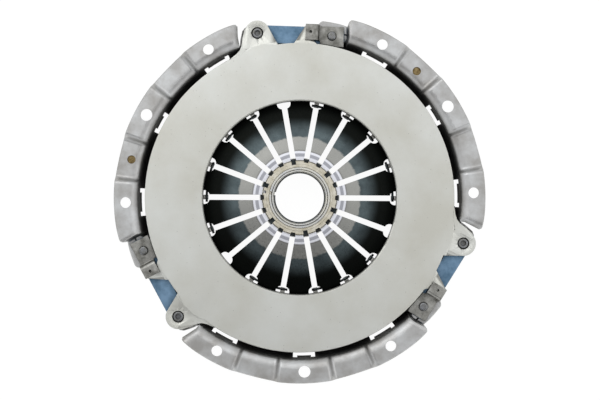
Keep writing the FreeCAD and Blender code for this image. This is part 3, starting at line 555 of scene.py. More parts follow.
    def combine(self, piece: Piece, operation: str, tool: Piece,
                **settings: object) -> None:
        """Unite a piece with a tool or cut it with the tool, and remove the tool.

        Args:
            piece: the piece.
            operation: UNION or DIFFERENCE.
            tool: the other object.
            settings: more attributes of the modifier.
        """
        self.apply_modifier(piece, "BOOLEAN", operation=operation, object=tool, solver="EXACT",
                            **settings)
        bpy.data.objects.remove(tool, do_unlink=True)

    @staticmethod
    def raise_rings(rings: Sequence[tuple[float, float]]) -> None:
        """Extrude the selected edges ring by ring, in edit mode.

        Args:
            rings: radii and heights in mm, from the selected ring on.
        """
        for (here_r, here_z), (next_r, next_z) in zip(rings, rings[1:]):
            lift = (next_z - here_z) * MM
            bpy.ops.mesh.extrude_edges_move(TRANSFORM_OT_translate={"value": (0.0, 0.0, lift)})
            Workshop.shrink(next_r / here_r)

    def pin(self, name: str, place: Vector, radius: float, low: float, high: float,
            edge: float = 0.0, steps: int = 48) -> Piece:
        """Make an upright pin, with its edges rounded if it has an edge radius.

        Args:
            name: the new object's name.
            place: its place in the plan, in metres.
            radius: its radius in mm.
            low: its lowest height in mm.
            high: its highest height in mm.
            edge: radius of its rounded edges in mm.
            steps: vertices round it.

        Returns:
            The new object.
        """
        bpy.ops.object.select_all(action="DESELECT")
        middle = (place.x, place.y, (low + high) / 2 * MM)
        bpy.ops.mesh.primitive_cylinder_add(vertices=steps, radius=radius * MM,
                                            depth=(high - low) * MM, location=middle)
        piece = bpy.context.active_object
        piece.name = name
        bpy.ops.object.transform_apply(location=True, rotation=True, scale=True)
        if edge:
            self.apply_modifier(piece, "BEVEL", width=edge * MM, segments=3,
                                limit_method="ANGLE", angle_limit=math.radians(60.0))
        return piece

    def turned_copy(self, piece: Piece, angle: float) -> Piece:
        """Copy a piece with its own mesh and turn the copy about the clutch axis.

        Args:
            piece: the piece to copy.
            angle: the turn in degrees.

        Returns:
            The copy.
        """
        self.activate(piece)
        bpy.ops.object.duplicate()
        copy = bpy.context.active_object
        copy.rotation_euler = (0.0, 0.0, math.radians(angle))
        bpy.ops.object.transform_apply(location=False, rotation=True, scale=False)
        return copy

    def threefold(self, piece: Piece) -> Piece:
        """Join a piece with its copies in the two other sectors."""
        copies = [self.turned_copy(piece, SECTOR_STEP * k) for k in range(1, SECTORS)]
        return self.join([piece] + copies, piece.name)

    def join(self, pieces: Sequence[Piece], name: str) -> Piece:
        """Join separate pieces into one object.

        Args:
            pieces: the objects to join.
            name: the joined object's name.

        Returns:
            The joined object.
        """
        bpy.ops.object.select_all(action="DESELECT")
        for piece in pieces:
            piece.select_set(True)
        bpy.context.view_layer.objects.active = pieces[0]
        if len(pieces) > 1:
            bpy.ops.object.join()
        pieces[0].name = name
        return pieces[0]

    def lathe(self, name: str, outline: Sequence[tuple[float, float]], steps: int,
              middle: float = 0.0, span: float = 360.0, closed: bool = True) -> Piece:
        """Turn an outline into a shell by extruding a circle, or an arc of it, ring by ring.

        Args:
            name: the new object's name.
            outline: radii and heights in mm.
            steps: vertices of the whole circle.
            middle: angle of one vertex, and of the arc's middle, in degrees.
            span: angle of the arc in degrees.
            closed: whether the last ring joins the first.

        Returns:
            The new object.
        """
        bpy.ops.object.select_all(action="DESELECT")
        first_r, first_z = outline[0]
        bpy.ops.mesh.primitive_circle_add(vertices=steps, radius=first_r * MM,
                                          location=(0.0, 0.0, first_z * MM),
                                          rotation=(0.0, 0.0, math.radians(middle - 90.0)))
        piece = bpy.context.active_object
        piece.name = name
        bpy.ops.object.transform_apply(location=True, rotation=True, scale=True)
        if span < 360.0:
            slack = 180.0 / steps
            with self.editing(piece, "VERT",
                              lambda vertex: abs(turn_from(vertex.co, middle)) > span / 2 + slack):
                bpy.ops.mesh.delete(type="VERT")
        bpy.ops.object.mode_set(mode="EDIT")
        bpy.ops.mesh.select_mode(type="EDGE")
        bpy.ops.mesh.select_all(action="SELECT")
        self.raise_rings(list(outline) + (list(outline[:1]) if closed else []))
        if closed:
            bpy.ops.mesh.select_all(action="SELECT")
            bpy.ops.mesh.remove_doubles(threshold=WELD)
        bpy.ops.mesh.select_all(action="SELECT")
        bpy.ops.mesh.normals_make_consistent(inside=False)
        bpy.ops.object.mode_set(mode="OBJECT")
        return piece

    def carried_copy(self, node: str, name: str) -> Piece:
        """Copy a CAD node's mesh, weld it and leave it without a parent.

        Args:
            node: the CAD node's name.
            name: the new object's name.

        Returns:
            The new object.
        """
        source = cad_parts[node]
        piece = bpy.data.objects.new(name, source.data.copy())
        bpy.context.scene.collection.objects.link(piece)
        self.weld(piece, WELD)
        return piece

    def dress(self, piece: Piece, material: Optional[bpy.types.Material] = None) -> None:
        """Shade a piece smooth below the edge angle, in one material if one is given.

        Args:
            piece: the object.
            material: its only material, or None to keep those that it has.
        """
        if material:
            piece.data.materials.clear()
            piece.data.materials.append(material)
        self.activate(piece)
        bpy.ops.object.shade_smooth_by_angle(angle=SMOOTH_ANGLE)

    @staticmethod
    def repaint(nodes: Sequence[str], material: bpy.types.Material) -> None:
        """Give CAD nodes a better material in their own slots.

        Args:
            nodes: the nodes' names.
            material: the material.
        """
        for name in nodes:
            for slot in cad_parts[name].material_slots:
                slot.material = material
            log.info("CAD node %s wears %s", name, material.name)


@dataclass
class CoverShell:
    """The pressed cover: a floor with a large opening, a drafted wall and three flange segments.

    The sheet is drawn as two skins, front and back, on a grid of rings and columns.  The flange
    is raised flat first, and its panels and shelves are then sunk into it along the wall.  Both
    skins number their rings from the pocket's height outwards.
    """

    sheet: float = 4.0
    wall_foot_r: float = 117.5
    draft: float = 10.9
    flange_r: float = 142.4
    floor_open_r: float = 96.0
    bend: float = 5.0
    flange_bend: float = 7.2
    sheared_edge: float = 0.7
    pocket_top: float = -20.0
    window_top: float = -14.0
    ear_top: float = -9.0
    columns: int = 720
    segment_mid: float = 31.6
    segment_low: float = -40.0
    segment_high: float = 41.0
    shelf_end: float = 52.5
    shelf_drop: float = 14.4
    shelf_corner: float = 4.5
    shelf_r: float = 137.8
    panel_near: float = 9.5
    panel_far: float = 22.0
    panel_drop: float = 5.0
    back_step: float = 1.5
    skirt_drop: float = 10.0
    end_corner: float = 2.0
    flange_start_r: float = 128.4
    bolt_circle_r: float = 133.5
    bolt_step: float = 30.0
    bolt_hole_r: float = 4.15
    middle_hole_r: float = 4.6
    window_half: tuple[float, float, float] = (5.0, 4.0, 5.0)
    ear_span: float = 1.5
    dimple_r: float = 3.2
    dimple_depth: float = 1.6
    dimple_place: tuple[float, float] = (132.5, 15.6)
    dimpled: tuple[int, int] = (0, 1)
    flange_rings: tuple[float, ...] = (131.5, 134.5, 138.0)
    floor_ring_r: float = 104.0
    bowl_ring_z: float = -26.0
    wall_ring_z: float = -7.6
    window_in_r: float = 115.9
    window_out_r: float = 128.1
    panel_steps: tuple[float, ...] = (0.12, 0.38, 0.38, 0.12)
    shelf_steps: tuple[float, ...] = (0.04, 0.90, 0.06)
    end_drops: tuple[float, ...] = (3.0, 1.3, 0.45, 0.1)
    end_reach: float = 4.5
    skirt_in_r: float = 129.0
    skirt_low: float = -6.0
    bend_ring: int = 4
    turned_ring: int = 6
    end_ring: int = 8
    flat_ring: int = 9
    rim_ring: int = 10
    places: list[tuple[int, float]] = field(default_factory=list)

    @property
    def step(self) -> float:
        """Give the angle between two columns in degrees."""
        return 360.0 / self.columns

    def wall_r(self, z: float) -> float:
        """Give the radius of the wall's inner line at a height in mm."""
        return self.wall_foot_r + (z - self.floor_z()) * math.tan(math.radians(self.draft))

    def floor_z(self) -> float:
        """Give the height of the floor's front face in mm."""
        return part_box("cover")[0][2] / MM + self.sheet

    def arc(self, centre: tuple[float, float], radius: float,
            angles: Sequence[float]) -> list[tuple[float, float]]:
        """Give the points of a bend in the section.

        Args:
            centre: radius and height of the bend's centre.
            radius: the bend's radius.
            angles: angles of the points in degrees.

        Returns:
            Radii and heights.
        """
        turns = [math.radians(angle) for angle in angles]
        return [(centre[0] + radius * math.cos(t), centre[1] + radius * math.sin(t)) for t in turns]

    def skins(self) -> tuple[list[tuple[float, float]], list[tuple[float, float]]]:
        """Give the front and back skins from the pocket's height to the rim.

        Returns:
            The rings of the front skin and of the back skin.
        """
        lean = math.radians(self.draft)
        bend = self.flange_bend
        tangent_z = -bend + bend * math.sin(lean)
        centre = (self.wall_r(tangent_z) + bend * math.cos(lean), -bend)
        turn = (180.0 - self.draft, 149.0, 129.0, 110.0, 90.0)
        through = self.sheet / math.cos(lean)
        heights = (self.pocket_top, self.window_top, self.ear_top, self.wall_ring_z)
        edge = self.sheared_edge
        front = [(self.wall_r(z), z) for z in heights] + self.arc(centre, bend, turn)
        front += [(ring_r, 0.0) for ring_r in self.flange_rings]
        front += [(self.flange_r - edge, 0.0), (self.flange_r, -edge)]
        back = [(self.wall_r(z) + through, z) for z in heights]
        back += self.arc(centre, bend - self.sheet, turn)
        back += [(ring_r, -self.sheet) for ring_r in self.flange_rings]
        back += [(self.flange_r - edge, -self.sheet), (self.flange_r, edge - self.sheet)]
        return front, back

    def bowl(self) -> list[tuple[float, float]]:
        """Give the bowl's rings from the front of the wall round the floor's edge to its back.

        Returns:
            Radii and heights.
        """
        floor = self.floor_z()
        lean = math.radians(self.draft)
        tangent_z = floor + self.bend - self.bend * math.sin(lean)
        centre = (self.wall_r(tangent_z) - self.bend * math.cos(lean), floor + self.bend)
        through = self.sheet / math.cos(lean)
        inside = self.arc(centre, self.bend, (-self.draft, -34.6, -58.3, -74.0, -90.0))
        outside = self.arc(centre, self.bend + self.sheet,
                           (-90.0, -73.0, -52.0, -31.0, -self.draft))
        edge, back = self.sheared_edge, floor - self.sheet
        open_r, edge_r = self.floor_open_r, self.floor_open_r + self.sheared_edge
        top_r, ring_r = self.wall_r(self.pocket_top), self.wall_r(self.bowl_ring_z)
        return ([(top_r, self.pocket_top), (ring_r, self.bowl_ring_z)] + inside
                + [(self.floor_ring_r, floor), (edge_r, floor), (open_r, floor - edge),
                   (open_r, back + edge), (edge_r, back), (self.floor_ring_r, back)]
                + outside + [(ring_r + through, self.bowl_ring_z),
                             (top_r + through, self.pocket_top)])

    def column(self, point: Vector) -> float:
        """Give a point's angle from the middle of the first segment."""
        return turn_from(point, self.segment_mid)

    def on_segment(self, point: Vector) -> bool:
        """Say whether a point's column belongs to the flange segment or its shelf."""
        return (self.segment_low - TURN_SLACK < self.column(point)
                < self.shelf_end + TURN_SLACK)

    def raise_skin(self, shop: Workshop, piece: Piece,
                   skin: Sequence[tuple[float, float]]) -> None:
        """Extrude one skin of the flange segments from the bowl's top ring.

        Args:
            shop: the shared moves.
            piece: the cover.
            skin: the rings from the pocket's height to the rim.
        """
        start_r, start_z = skin[0]

        def at_start(edge: bpy.types.MeshEdge) -> bool:
            """Say whether an edge lies on the skin's first ring, on the segment."""
            return all(abs(p.z / MM - start_z) < NEAR_MM
                       and abs(p.xy.length / MM - start_r) < NEAR_MM
                       and self.on_segment(p) for p in shop.ends(piece, edge))

        with shop.editing(piece, "EDGE", at_start):
            shop.raise_rings(skin)

    def shell(self, shop: Workshop) -> Piece:
        """Build the sheet with a flat flange, open windows and closed ends.

        Args:
            shop: the shared moves.

        Returns:
            The cover.
        """
        front, back = self.skins()
        piece = shop.lathe("cover_shell", self.bowl(), self.columns, self.segment_mid, SECTOR_STEP,
                           closed=False)
        for skin in (front, back, [front[-1], back[-1]]):
            self.raise_skin(shop, piece, skin)
        shop.weld(piece, SEAM_WELD)
        self.open_windows(shop, piece)
        self.close_pockets(shop, piece)
        return piece

    def open_windows(self, shop: Workshop, piece: Piece) -> None:
        """Cut the air windows with their relief ears through both skins and wall them round.

        Args:
            shop: the shared moves.
            piece: the cover.
        """
        def in_window(face: bpy.types.MeshPolygon, pad: int) -> bool:
            """Say whether a face lies in the window or the ears of one pad."""
            radius, height = face.center.xy.length / MM, face.center.z / MM
            turn = abs(self.column(face.center) - (pad - 1) * self.bolt_step)
            half = self.window_half[pad]
            if turn > half or not self.window_in_r <= radius <= self.window_out_r:
                return False
            ear = turn > half - self.ear_span and height < self.ear_top
            return height < self.window_top or ear

        pads = range(len(self.window_half))
        with shop.editing(piece, "FACE", lambda face: any(in_window(face, pad) for pad in pads)):
            bpy.ops.mesh.delete(type="FACE")
        around = 0.3
        for pad in pads:
            middle = self.segment_mid + (pad - 1) * self.bolt_step
            self.wall_round(shop, piece, middle, self.window_half[pad] + around)

    def wall_round(self, shop: Workshop, piece: Piece, middle: float,
                   half: float) -> None:
        """Bridge the front and back edges of one window.

        Args:
            shop: the shared moves.
            piece: the cover.
            middle: the window's angle.
            half: its half span in degrees.
        """
        uses = [0] * len(piece.data.edges)
        for polygon in piece.data.polygons:
            for key in polygon.loop_indices:
                uses[piece.data.loops[key].edge_index] += 1

        def open_here(edge: bpy.types.MeshEdge) -> bool:
            """Say whether an edge has one face only and lies at the window."""
            point = sum(shop.ends(piece, edge), Vector()) / 2
            return uses[edge.index] == 1 and abs(turn_from(point, middle)) < half

        with shop.editing(piece, "EDGE", open_here):
            bpy.ops.mesh.bridge_edge_loops()

    def close_pockets(self, shop: Workshop, piece: Piece) -> None:
        """Close the wall's top between the segments, and then the segments' ends.

        Args:
            shop: the shared moves.
            piece: the cover.
        """
        def on_top(edge: bpy.types.MeshEdge, low: float, high: float) -> bool:
            """Say whether an edge runs round the wall's top between two columns."""
            ends = shop.ends(piece, edge)
            level = all(abs(p.z / MM - self.pocket_top) < NEAR_MM for p in ends)
            same_r = abs(ends[0].xy.length - ends[1].xy.length) < NEAR_MM * MM
            return level and same_r and all(low < self.column(p) < high for p in ends)

        half = SECTOR_STEP / 2
        for low, high in ((-half, self.segment_low), (self.shelf_end, half)):
            with shop.editing(piece, "EDGE", lambda edge, low=low, high=high:
                              on_top(edge, low - TURN_SLACK, high + TURN_SLACK)):
                bpy.ops.mesh.bridge_edge_loops()
        for end in (self.segment_low, self.shelf_end):

            def at_end(edge: bpy.types.MeshEdge, end: float = end) -> bool:
                """Say whether an edge lies in the column of one end, above the pocket."""
                return all(abs(self.column(p) - end) < TURN_SLACK
                           and p.z / MM > self.pocket_top - NEAR_MM
                           for p in shop.ends(piece, edge))

            with shop.editing(piece, "EDGE", at_end):
                bpy.ops.mesh.edge_face_add()

    def note_places(self, piece: Piece) -> None:
        """Note each vertex's ring and column while the flange is still flat.

        Front rings count from 1 up, back rings from -1 down, and 0 is the bowl.

        Args:
            piece: the cover.
        """
        front, back = self.skins()
        self.places = []
        for vertex in piece.data.vertices:
            radius, height = vertex.co.xy.length / MM, vertex.co.z / MM
            found = 0
            for rings, sign in ((front, 1), (back, -1)):
                for number, (ring_r, ring_z) in enumerate(rings):
                    if number and math.hypot(radius - ring_r, height - ring_z) < NEAR_MM:
                        found = sign * number
            self.places.append((found, self.column(vertex.co)))

    def sink(self, shop: Workshop, piece: Piece, side: int,
             turns: tuple[float, float], drop: float) -> None:
        """Sink some columns of one skin along the wall.

        The rings of the wall close up towards the pocket's height, and the bend and the flange
        go down whole and in by the wall's draft.

        Args:
            shop: the shared moves.
            piece: the cover.
            side: 1 for the front skin and -1 for the back.
            turns: the lowest and the highest column in degrees from the segment's middle.
            drop: how far they go down in mm.
        """
        low, high = turns
        lean = math.tan(math.radians(self.draft))
        tangent = -self.flange_bend * (1.0 - math.sin(math.radians(self.draft)))

        def rings(first: int, last: float = math.inf) -> Callable[[bpy.types.MeshVertex], bool]:
            """Make a test for the vertices of some rings in these columns."""
            def test(vertex: bpy.types.MeshVertex) -> bool:
                """Say whether a vertex is one of them."""
                ring, turn = self.places[vertex.index]
                return (first <= ring * side < last
                        and low - TURN_SLACK < turn < high + TURN_SLACK)
            return test

        with shop.editing(piece, "VERT", rings(self.bend_ring)):
            shop.lift(-drop)
        with shop.editing(piece, "VERT", rings(self.bend_ring, self.flat_ring)):
            shop.shrink(1.0 - drop * lean / self.bolt_circle_r)
        with shop.editing(piece, "VERT", rings(1, self.bend_ring)):
            close = (tangent - drop - self.pocket_top) / (tangent - self.pocket_top)
            bpy.ops.transform.resize(value=(1.0, 1.0, close),
                                     center_override=(0.0, 0.0, self.pocket_top * MM))
            shop.shrink(1.0 - drop * lean * 0.5 / self.wall_foot_r)

    def press(self, shop: Workshop, piece: Piece) -> None:
        """Press the panels and the shelves, with rounded steps at their ends.

        Args:
            shop: the shared moves.
            piece: the cover.
        """
        for side, widen in ((1, 0.0), (-1, self.back_step)):
            for sign in (-1, 1):
                near, far = self.panel_near - widen, self.panel_far + widen
                for count, share in enumerate(self.panel_steps):
                    grown = self.step * (2 - count)
                    low, high = near - grown, far + grown
                    turns = (low, high) if sign > 0 else (-high, -low)
                    self.sink(shop, piece, side, turns, self.panel_drop * share)
            for count, share in enumerate(self.shelf_steps):
                turns = (self.segment_high - widen + self.step * count, SECTOR_STEP / 2)
                self.sink(shop, piece, side, turns, self.shelf_drop * share)

    def in_column(self, turn: float, first: int) -> Callable[[bpy.types.MeshVertex], bool]:
        """Make a test for the vertices of one column.

        Args:
            turn: the column's angle from the segment's middle.
            first: the first ring that counts, in both skins.

        Returns:
            The test.
        """
        def test(vertex: bpy.types.MeshVertex) -> bool:
            """Say whether a vertex is one of them."""
            ring, here = self.places[vertex.index]
            return abs(here - turn) < TURN_SLACK and abs(ring) >= first
        return test

    def trim(self, shop: Workshop, piece: Piece, turn: float, share: float) -> None:
        """Draw the rim of one column in.

        Args:
            shop: the shared moves.
            piece: the cover.
            turn: the column's angle from the segment's middle.
            share: the share of its radius that is left.
        """
        with shop.editing(piece, "VERT", self.in_column(turn, self.rim_ring)):
            shop.shrink(share)

    def trim_rims(self, shop: Workshop, piece: Piece) -> None:
        """Flatten the rim of the panels, and draw the shelf's rim in.

        Args:
            shop: the shared moves.
            piece: the cover.
        """
        half = (self.panel_far - self.panel_near) / 2
        for sign in (-1, 1):
            for number in range(int(2 * half / self.step) + 1):
                off = number * self.step - half
                chord = math.cos(math.radians(half)) / math.cos(math.radians(off))
                self.trim(shop, piece, sign * (self.panel_near + half + off), (1.0 + chord) / 2)
        start = self.segment_high + self.step - TURN_SLACK
        with shop.editing(piece, "VERT", lambda vertex: self.places[vertex.index][1] > start
                          and abs(self.places[vertex.index][0]) >= self.rim_ring):
            shop.shrink(self.shelf_r / self.flange_r)

    def round_corners(self, shop: Workshop, piece: Piece) -> None:
        """Round the outer corners of the segment and of its shelf.

        Args:
            shop: the shared moves.
            piece: the cover.
        """
        for end, inward, size in ((self.segment_low, 1.0, self.end_corner),
                                  (self.segment_high, -1.0, self.end_corner),
                                  (self.shelf_end, -1.0, self.shelf_corner)):
            span = math.degrees(size / self.flange_r)
            for number in range(int(span / self.step) + 1):
                corner = (1.0 - number * self.step / span) ** 2
                self.trim(shop, piece, end + inward * number * self.step,
                          1.0 - corner * size / self.flange_r)

    def swing_ends(self, shop: Workshop, piece: Piece) -> None:
        """Set the segment's ends along the strap pockets.

        Args:
            shop: the shared moves.
            piece: the cover.
        """
        pocket = (self.segment_low + SECTOR_STEP - self.segment_high) / 2
        reach, step = self.end_reach, self.step
        for end, sign in ((self.segment_low, -1.0), (self.segment_high + step / 2, 1.0)):
            first = math.ceil((end - reach) / step)
            for number in range(first, int((end + reach) / step) + 1):
                turn = number * step
                swing = sign * pocket * (1.0 - max(0.0, abs(turn - end) - step / 2) / reach)
                pivot = polar(self.flange_start_r, self.segment_mid + turn)
                with shop.editing(piece, "VERT", self.in_column(turn, self.end_ring)):
                    bpy.ops.transform.rotate(value=math.radians(-swing), orient_axis="Z",
                                             center_override=pivot)

    def turn_down(self, shop: Workshop, piece: Piece) -> None:
        """Turn the segment's low end down, with a skirt under it.

        Args:
            shop: the shared moves.
            piece: the cover.
        """
        low = self.segment_low
        for number, drop in enumerate(self.end_drops):
            turn = low + self.step * number
            with shop.editing(piece, "VERT", lambda vertex, turn=turn:
                              self.places[vertex.index][0] >= self.turned_ring
                              and abs(self.places[vertex.index][1] - turn) < TURN_SLACK):
                shop.lift(-drop)
        facing_down = -0.7

        def under_end(face: bpy.types.MeshPolygon) -> bool:
            """Say whether a face is on the flange's back, at the low end."""
            return (low < self.column(face.center) < low + self.back_step
                    and face.normal.z < facing_down
                    and face.center.xy.length / MM > self.skirt_in_r
                    and face.center.z / MM > self.skirt_low)

        with shop.editing(piece, "FACE", under_end):
            bpy.ops.mesh.extrude_region_move(
                TRANSFORM_OT_translate={"value": (0.0, 0.0, -self.skirt_drop * MM)})

    def drill(self, shop: Workshop, piece: Piece) -> None:
        """Punch the bolt holes and press the blind dimples.

        Args:
            shop: the shared moves.
            piece: the cover.
        """
        piece.data.materials.append(shop.pressed_sheet)
        tools = []
        for k in range(SECTORS):
            middle = self.segment_mid + SECTOR_STEP * k
            for pad in (-1, 0, 1):
                radius = self.bolt_hole_r if pad else self.middle_hole_r
                place = polar(self.bolt_circle_r, middle + pad * self.bolt_step, 0.0)
                tools.append(shop.pin("punch", place, radius, -self.sheet * 2, self.sheet))
                tools[-1].data.materials.append(shop.pressed_sheet)
            if k in self.dimpled:
                place = polar(self.dimple_place[0], middle + self.dimple_place[1], 0.0)
                low = -self.panel_drop - self.dimple_depth
                tools.append(shop.pin("punch", place, self.dimple_r, low, self.sheet))
                tools[-1].data.materials.append(shop.oiled_mark)
        shop.combine(piece, "DIFFERENCE", shop.join(tools, "punch"), material_mode="TRANSFER")

    def build(self, shop: Workshop) -> None:
        """Args:
            shop: the shared moves and finishes.
        """
        sector = self.shell(shop)
        self.note_places(sector)
        for move in (self.press, self.trim_rims, self.round_corners, self.swing_ends,
                     self.turn_down):
            move(shop, sector)
        piece = shop.threefold(sector)
        with shop.editing(piece, "VERT", lambda vertex: True):
            bpy.ops.mesh.remove_doubles(threshold=SEAM_WELD)
            bpy.ops.mesh.normals_make_consistent(inside=False)
        self.drill(shop, piece)
        shop.dress(piece)
        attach(piece, "cover")
        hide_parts("cover")
        log.info("cover_shell: %d faces", len(piece.data.polygons))


@dataclass
class Plate:
    """The pressure plate: the casting with its lugs, whose flanks run wide into the ring."""

    lug_top: float = -4.3
    lug_back: float = -12.3
    draft: float = 1.8
    root_x: float = -40.0
    flank: tuple[tuple[float, float], ...] = (
        (-38.8, 130.6), (-40.6, 131.0), (-42.5, 128.6), (-43.8, 122.6), (-44.5, 116.9),
        (-45.9, 113.2), (-48.6, 110.2), (-52.6, 107.1), (-48.0, 100.0), (-38.8, 108.0))

    def flank_block(self, shop: Workshop) -> Piece:
        """Draw the outline of a lug's wide flank and raise it to the lug's thickness.

        Args:
            shop: the shared moves.

        Returns:
            The block beside the first lug.
        """
        bpy.ops.object.select_all(action="DESELECT")
        start_x, start_y = self.flank[0]
        bpy.ops.mesh.primitive_plane_add(size=MM, location=(start_x * MM, start_y * MM,
                                                            self.lug_back * MM))
        piece = bpy.context.active_object
        bpy.ops.object.transform_apply(location=True, rotation=True, scale=True)
        bpy.ops.object.mode_set(mode="EDIT")
        bpy.ops.mesh.select_mode(type="VERT")
        bpy.ops.mesh.merge(type="CENTER")
        for (here_x, here_y), (next_x, next_y) in zip(self.flank, self.flank[1:]):
            step = ((next_x - here_x) * MM, (next_y - here_y) * MM, 0.0)
            bpy.ops.mesh.extrude_vertices_move(TRANSFORM_OT_translate={"value": step})
        bpy.ops.mesh.select_all(action="SELECT")
        bpy.ops.mesh.edge_face_add()
        lift = (self.lug_top - self.lug_back) * MM
        bpy.ops.mesh.extrude_region_move(TRANSFORM_OT_translate={"value": (0.0, 0.0, lift)})
        bpy.ops.mesh.select_all(action="SELECT")
        bpy.ops.mesh.normals_make_consistent(inside=False)
        bpy.ops.object.mode_set(mode="OBJECT")
        root_x, middle_z = self.root_x * MM, (self.lug_top + self.lug_back) / 2 * MM
        with shop.editing(piece, "VERT",
                          lambda vertex: vertex.co.z < middle_z and vertex.co.x < root_x):
            bpy.ops.transform.translate(value=(-self.draft * MM, 0.0, 0.0))
        return shop.threefold(piece)

    def build(self, shop: Workshop) -> None:
        """Weld the casting, unite it with the flanks and dress it.

        Args:
            shop: the shared moves and finishes.
        """
        piece = shop.carried_copy("pressure_plate", "plate_casting")
        shop.combine(piece, "UNION", self.flank_block(shop))
        shop.dress(piece, shop.ground_iron)
        shop.apply_modifier(piece, "WEIGHTED_NORMAL", mode="FACE_AREA", weight=50, keep_sharp=True)
        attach(piece, "pressure_plate")
        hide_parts("pressure_plate")
        log.info("plate_casting: %d faces", len(piece.data.polygons))


@dataclass
class Spring:
    """The slotted disc spring, which tips about its rim as the collar pulls."""

    thick: float = 2.8
    rim_r: float = 114.5
    fulcrum_r: float = 112.0
    knee_r: float = 84.0
    ridge_r: float = 90.0
    wire_r: float = 72.4
    lever_r: float = 28.0
    tip_bend_r: float = 36.4
    tip_r: float = 26.6
    disc_cone: float = 13.0
    finger_cone: float = 7.0
    fingers: int = 18
    slot_offset: float = -0.4
    slot_width: float = 4.2
    window_in_r: float = 70.0
    window_width: float = 10.7
    window_corner: float = 4.0
    columns: int = 360
    rim_edge: float = 0.6
    tip_edge: float = 0.4

    def front(self, radius: float) -> float:
        """Give the height of the front face at a radius, with soft bends.

        Args:
            radius: the radius in mm.

        Returns:
            The height in mm.
        """
        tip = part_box("diaphragm_spring")[1][2] / MM
        rise = math.tan(math.radians(self.finger_cone))
        knee = tip - (self.knee_r - self.tip_bend_r) * rise
        if radius > self.knee_r:
            return knee - (radius - self.knee_r) * math.tan(math.radians(self.disc_cone))
        return min(tip, knee + (self.knee_r - radius) * rise)

    def outline(self) -> list[tuple[float, float]]:
        """Give the section round both faces.

        Returns:
            Radii and heights.
        """
        depth = self.thick / math.cos(math.radians(self.disc_cone))
        rim_edge, tip_edge = self.rim_edge, self.tip_edge
        radii = [self.rim_r - rim_edge, 108.0, 101.0, 94.0, 88.0, self.knee_r + 1.0,
                 self.knee_r - 1.0, 79.0, 74.0, self.window_in_r, 65.0, 60.0, 55.0, 50.0, 45.0,
                 41.0, self.tip_bend_r + 1.0, self.tip_bend_r - 1.0, 31.0, self.tip_r + tip_edge]
        over = [(r, self.front(r)) for r in radii]
        tip, rim = self.front(self.tip_r), self.front(self.rim_r)
        under = [(r, z - depth) for r, z in reversed(over)]
        return (over + [(self.tip_r, tip - tip_edge), (self.tip_r, tip - depth + tip_edge)]
                + under + [(self.rim_r, rim - depth + rim_edge), (self.rim_r, rim - rim_edge)])

    def slots(self, shop: Workshop) -> Piece:
        """Make the cutter of all slots with their windows.

        Args:
            shop: the shared moves.

        Returns:
            The cutter.
        """
        middle_z, height = -22.0 * MM, 30.0 * MM
        cutters = []
        for k in range(self.fingers):
            angle = self.slot_offset + 360.0 / self.fingers * k
            start, end = self.tip_r - self.slot_width, self.window_in_r + self.window_corner
            for low, high, width, corner in (
                    (start, end, self.slot_width, 0.0),
                    (self.window_in_r, self.knee_r, self.window_width, self.window_corner)):
                bpy.ops.object.select_all(action="DESELECT")
                place = polar((low + high) / 2, angle)
                bpy.ops.mesh.primitive_cube_add(size=1.0, location=(place.x, place.y, middle_z),
                                                rotation=(0.0, 0.0, math.radians(angle)),
                                                scale=((high - low) * MM, width * MM, height))
                cutter = bpy.context.active_object
                bpy.ops.object.transform_apply(location=False, rotation=False, scale=True)
                if corner:
                    upright = [abs((first - last).z) > height / 2 for first, last in
                               (shop.ends(cutter, edge) for edge in cutter.data.edges)]
                    with shop.editing(cutter, "EDGE", lambda edge, up=upright: up[edge.index]):
                        bpy.ops.mesh.bevel(offset=corner * MM, segments=6)
                shop.activate(cutter)
                bpy.ops.object.transform_apply(location=True, rotation=True, scale=True)
                cutters.append(cutter)
        return shop.join(cutters, "slot_cutter")

    def build(self, shop: Workshop) -> None:
        """Turn the disc, cut its slots and let it flex between the cover and the collar.

        Args:
            shop: the shared moves and finishes.
        """
        piece = shop.lathe("spring_disc", self.outline(), self.columns)
        shop.combine(piece, "DIFFERENCE", self.slots(shop), use_self=True)
        shop.dress(piece, shop.spring_steel)
        self.tip(piece)
        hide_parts("diaphragm_spring")
        log.info("spring_disc: %d faces, flexes between cover and collar", len(piece.data.polygons))
        wires = shop.carried_copy("retainer_wires", "carried_retainer_wires")
        shop.dress(wires, shop.drawn_wire)
        self.tip(wires)
        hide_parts("retainer_wires")
        hooks = shop.carried_copy("retainer_hooks", "carried_retainer_hooks")
        shop.dress(hooks, shop.phosphated_clip)
        self.draw_out(hooks)
        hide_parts("retainer_hooks")
        log.info("%s and %s go with the spring", wires.name, hooks.name)

    def draw_out(self, hooks: Piece) -> None:
        """Let the hooks' lips stay in the plate's groove while their feet follow the spring.

        Args:
            hooks: the hooks to blend.
        """
        (_, _, low), (_, _, high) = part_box("retainer_hooks")
        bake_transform(hooks, "cover", "release_collar", (0.0, 0.0, high), (0.0, 0.0, low))
        lip, foot = self.lever(self.ridge_r), self.lever(self.wire_r)
        for weight in hooks.data.attributes["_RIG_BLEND"].data:
            weight.value = lip + (foot - lip) * weight.value

    def lever(self, radius: float) -> float:
        """Give the share of the collar's travel that the disc makes at a radius in mm."""
        return min(1.0, max(0.0, (self.fulcrum_r - radius) / (self.fulcrum_r - self.lever_r)))

    def tip(self, piece: Piece) -> None:
        """Let a piece tip with the disc: still at its fulcrum, with the collar at its tips.

        Args:
            piece: the piece to blend.
        """
        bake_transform(piece, "cover", "release_collar", (0.0, 0.0, 0.0), (0.0, 0.0, 0.001))
        weights = piece.data.attributes["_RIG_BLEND"]
        for vertex, weight in zip(piece.data.vertices, weights.data):
            weight.value = self.lever(vertex.co.xy.length / MM)


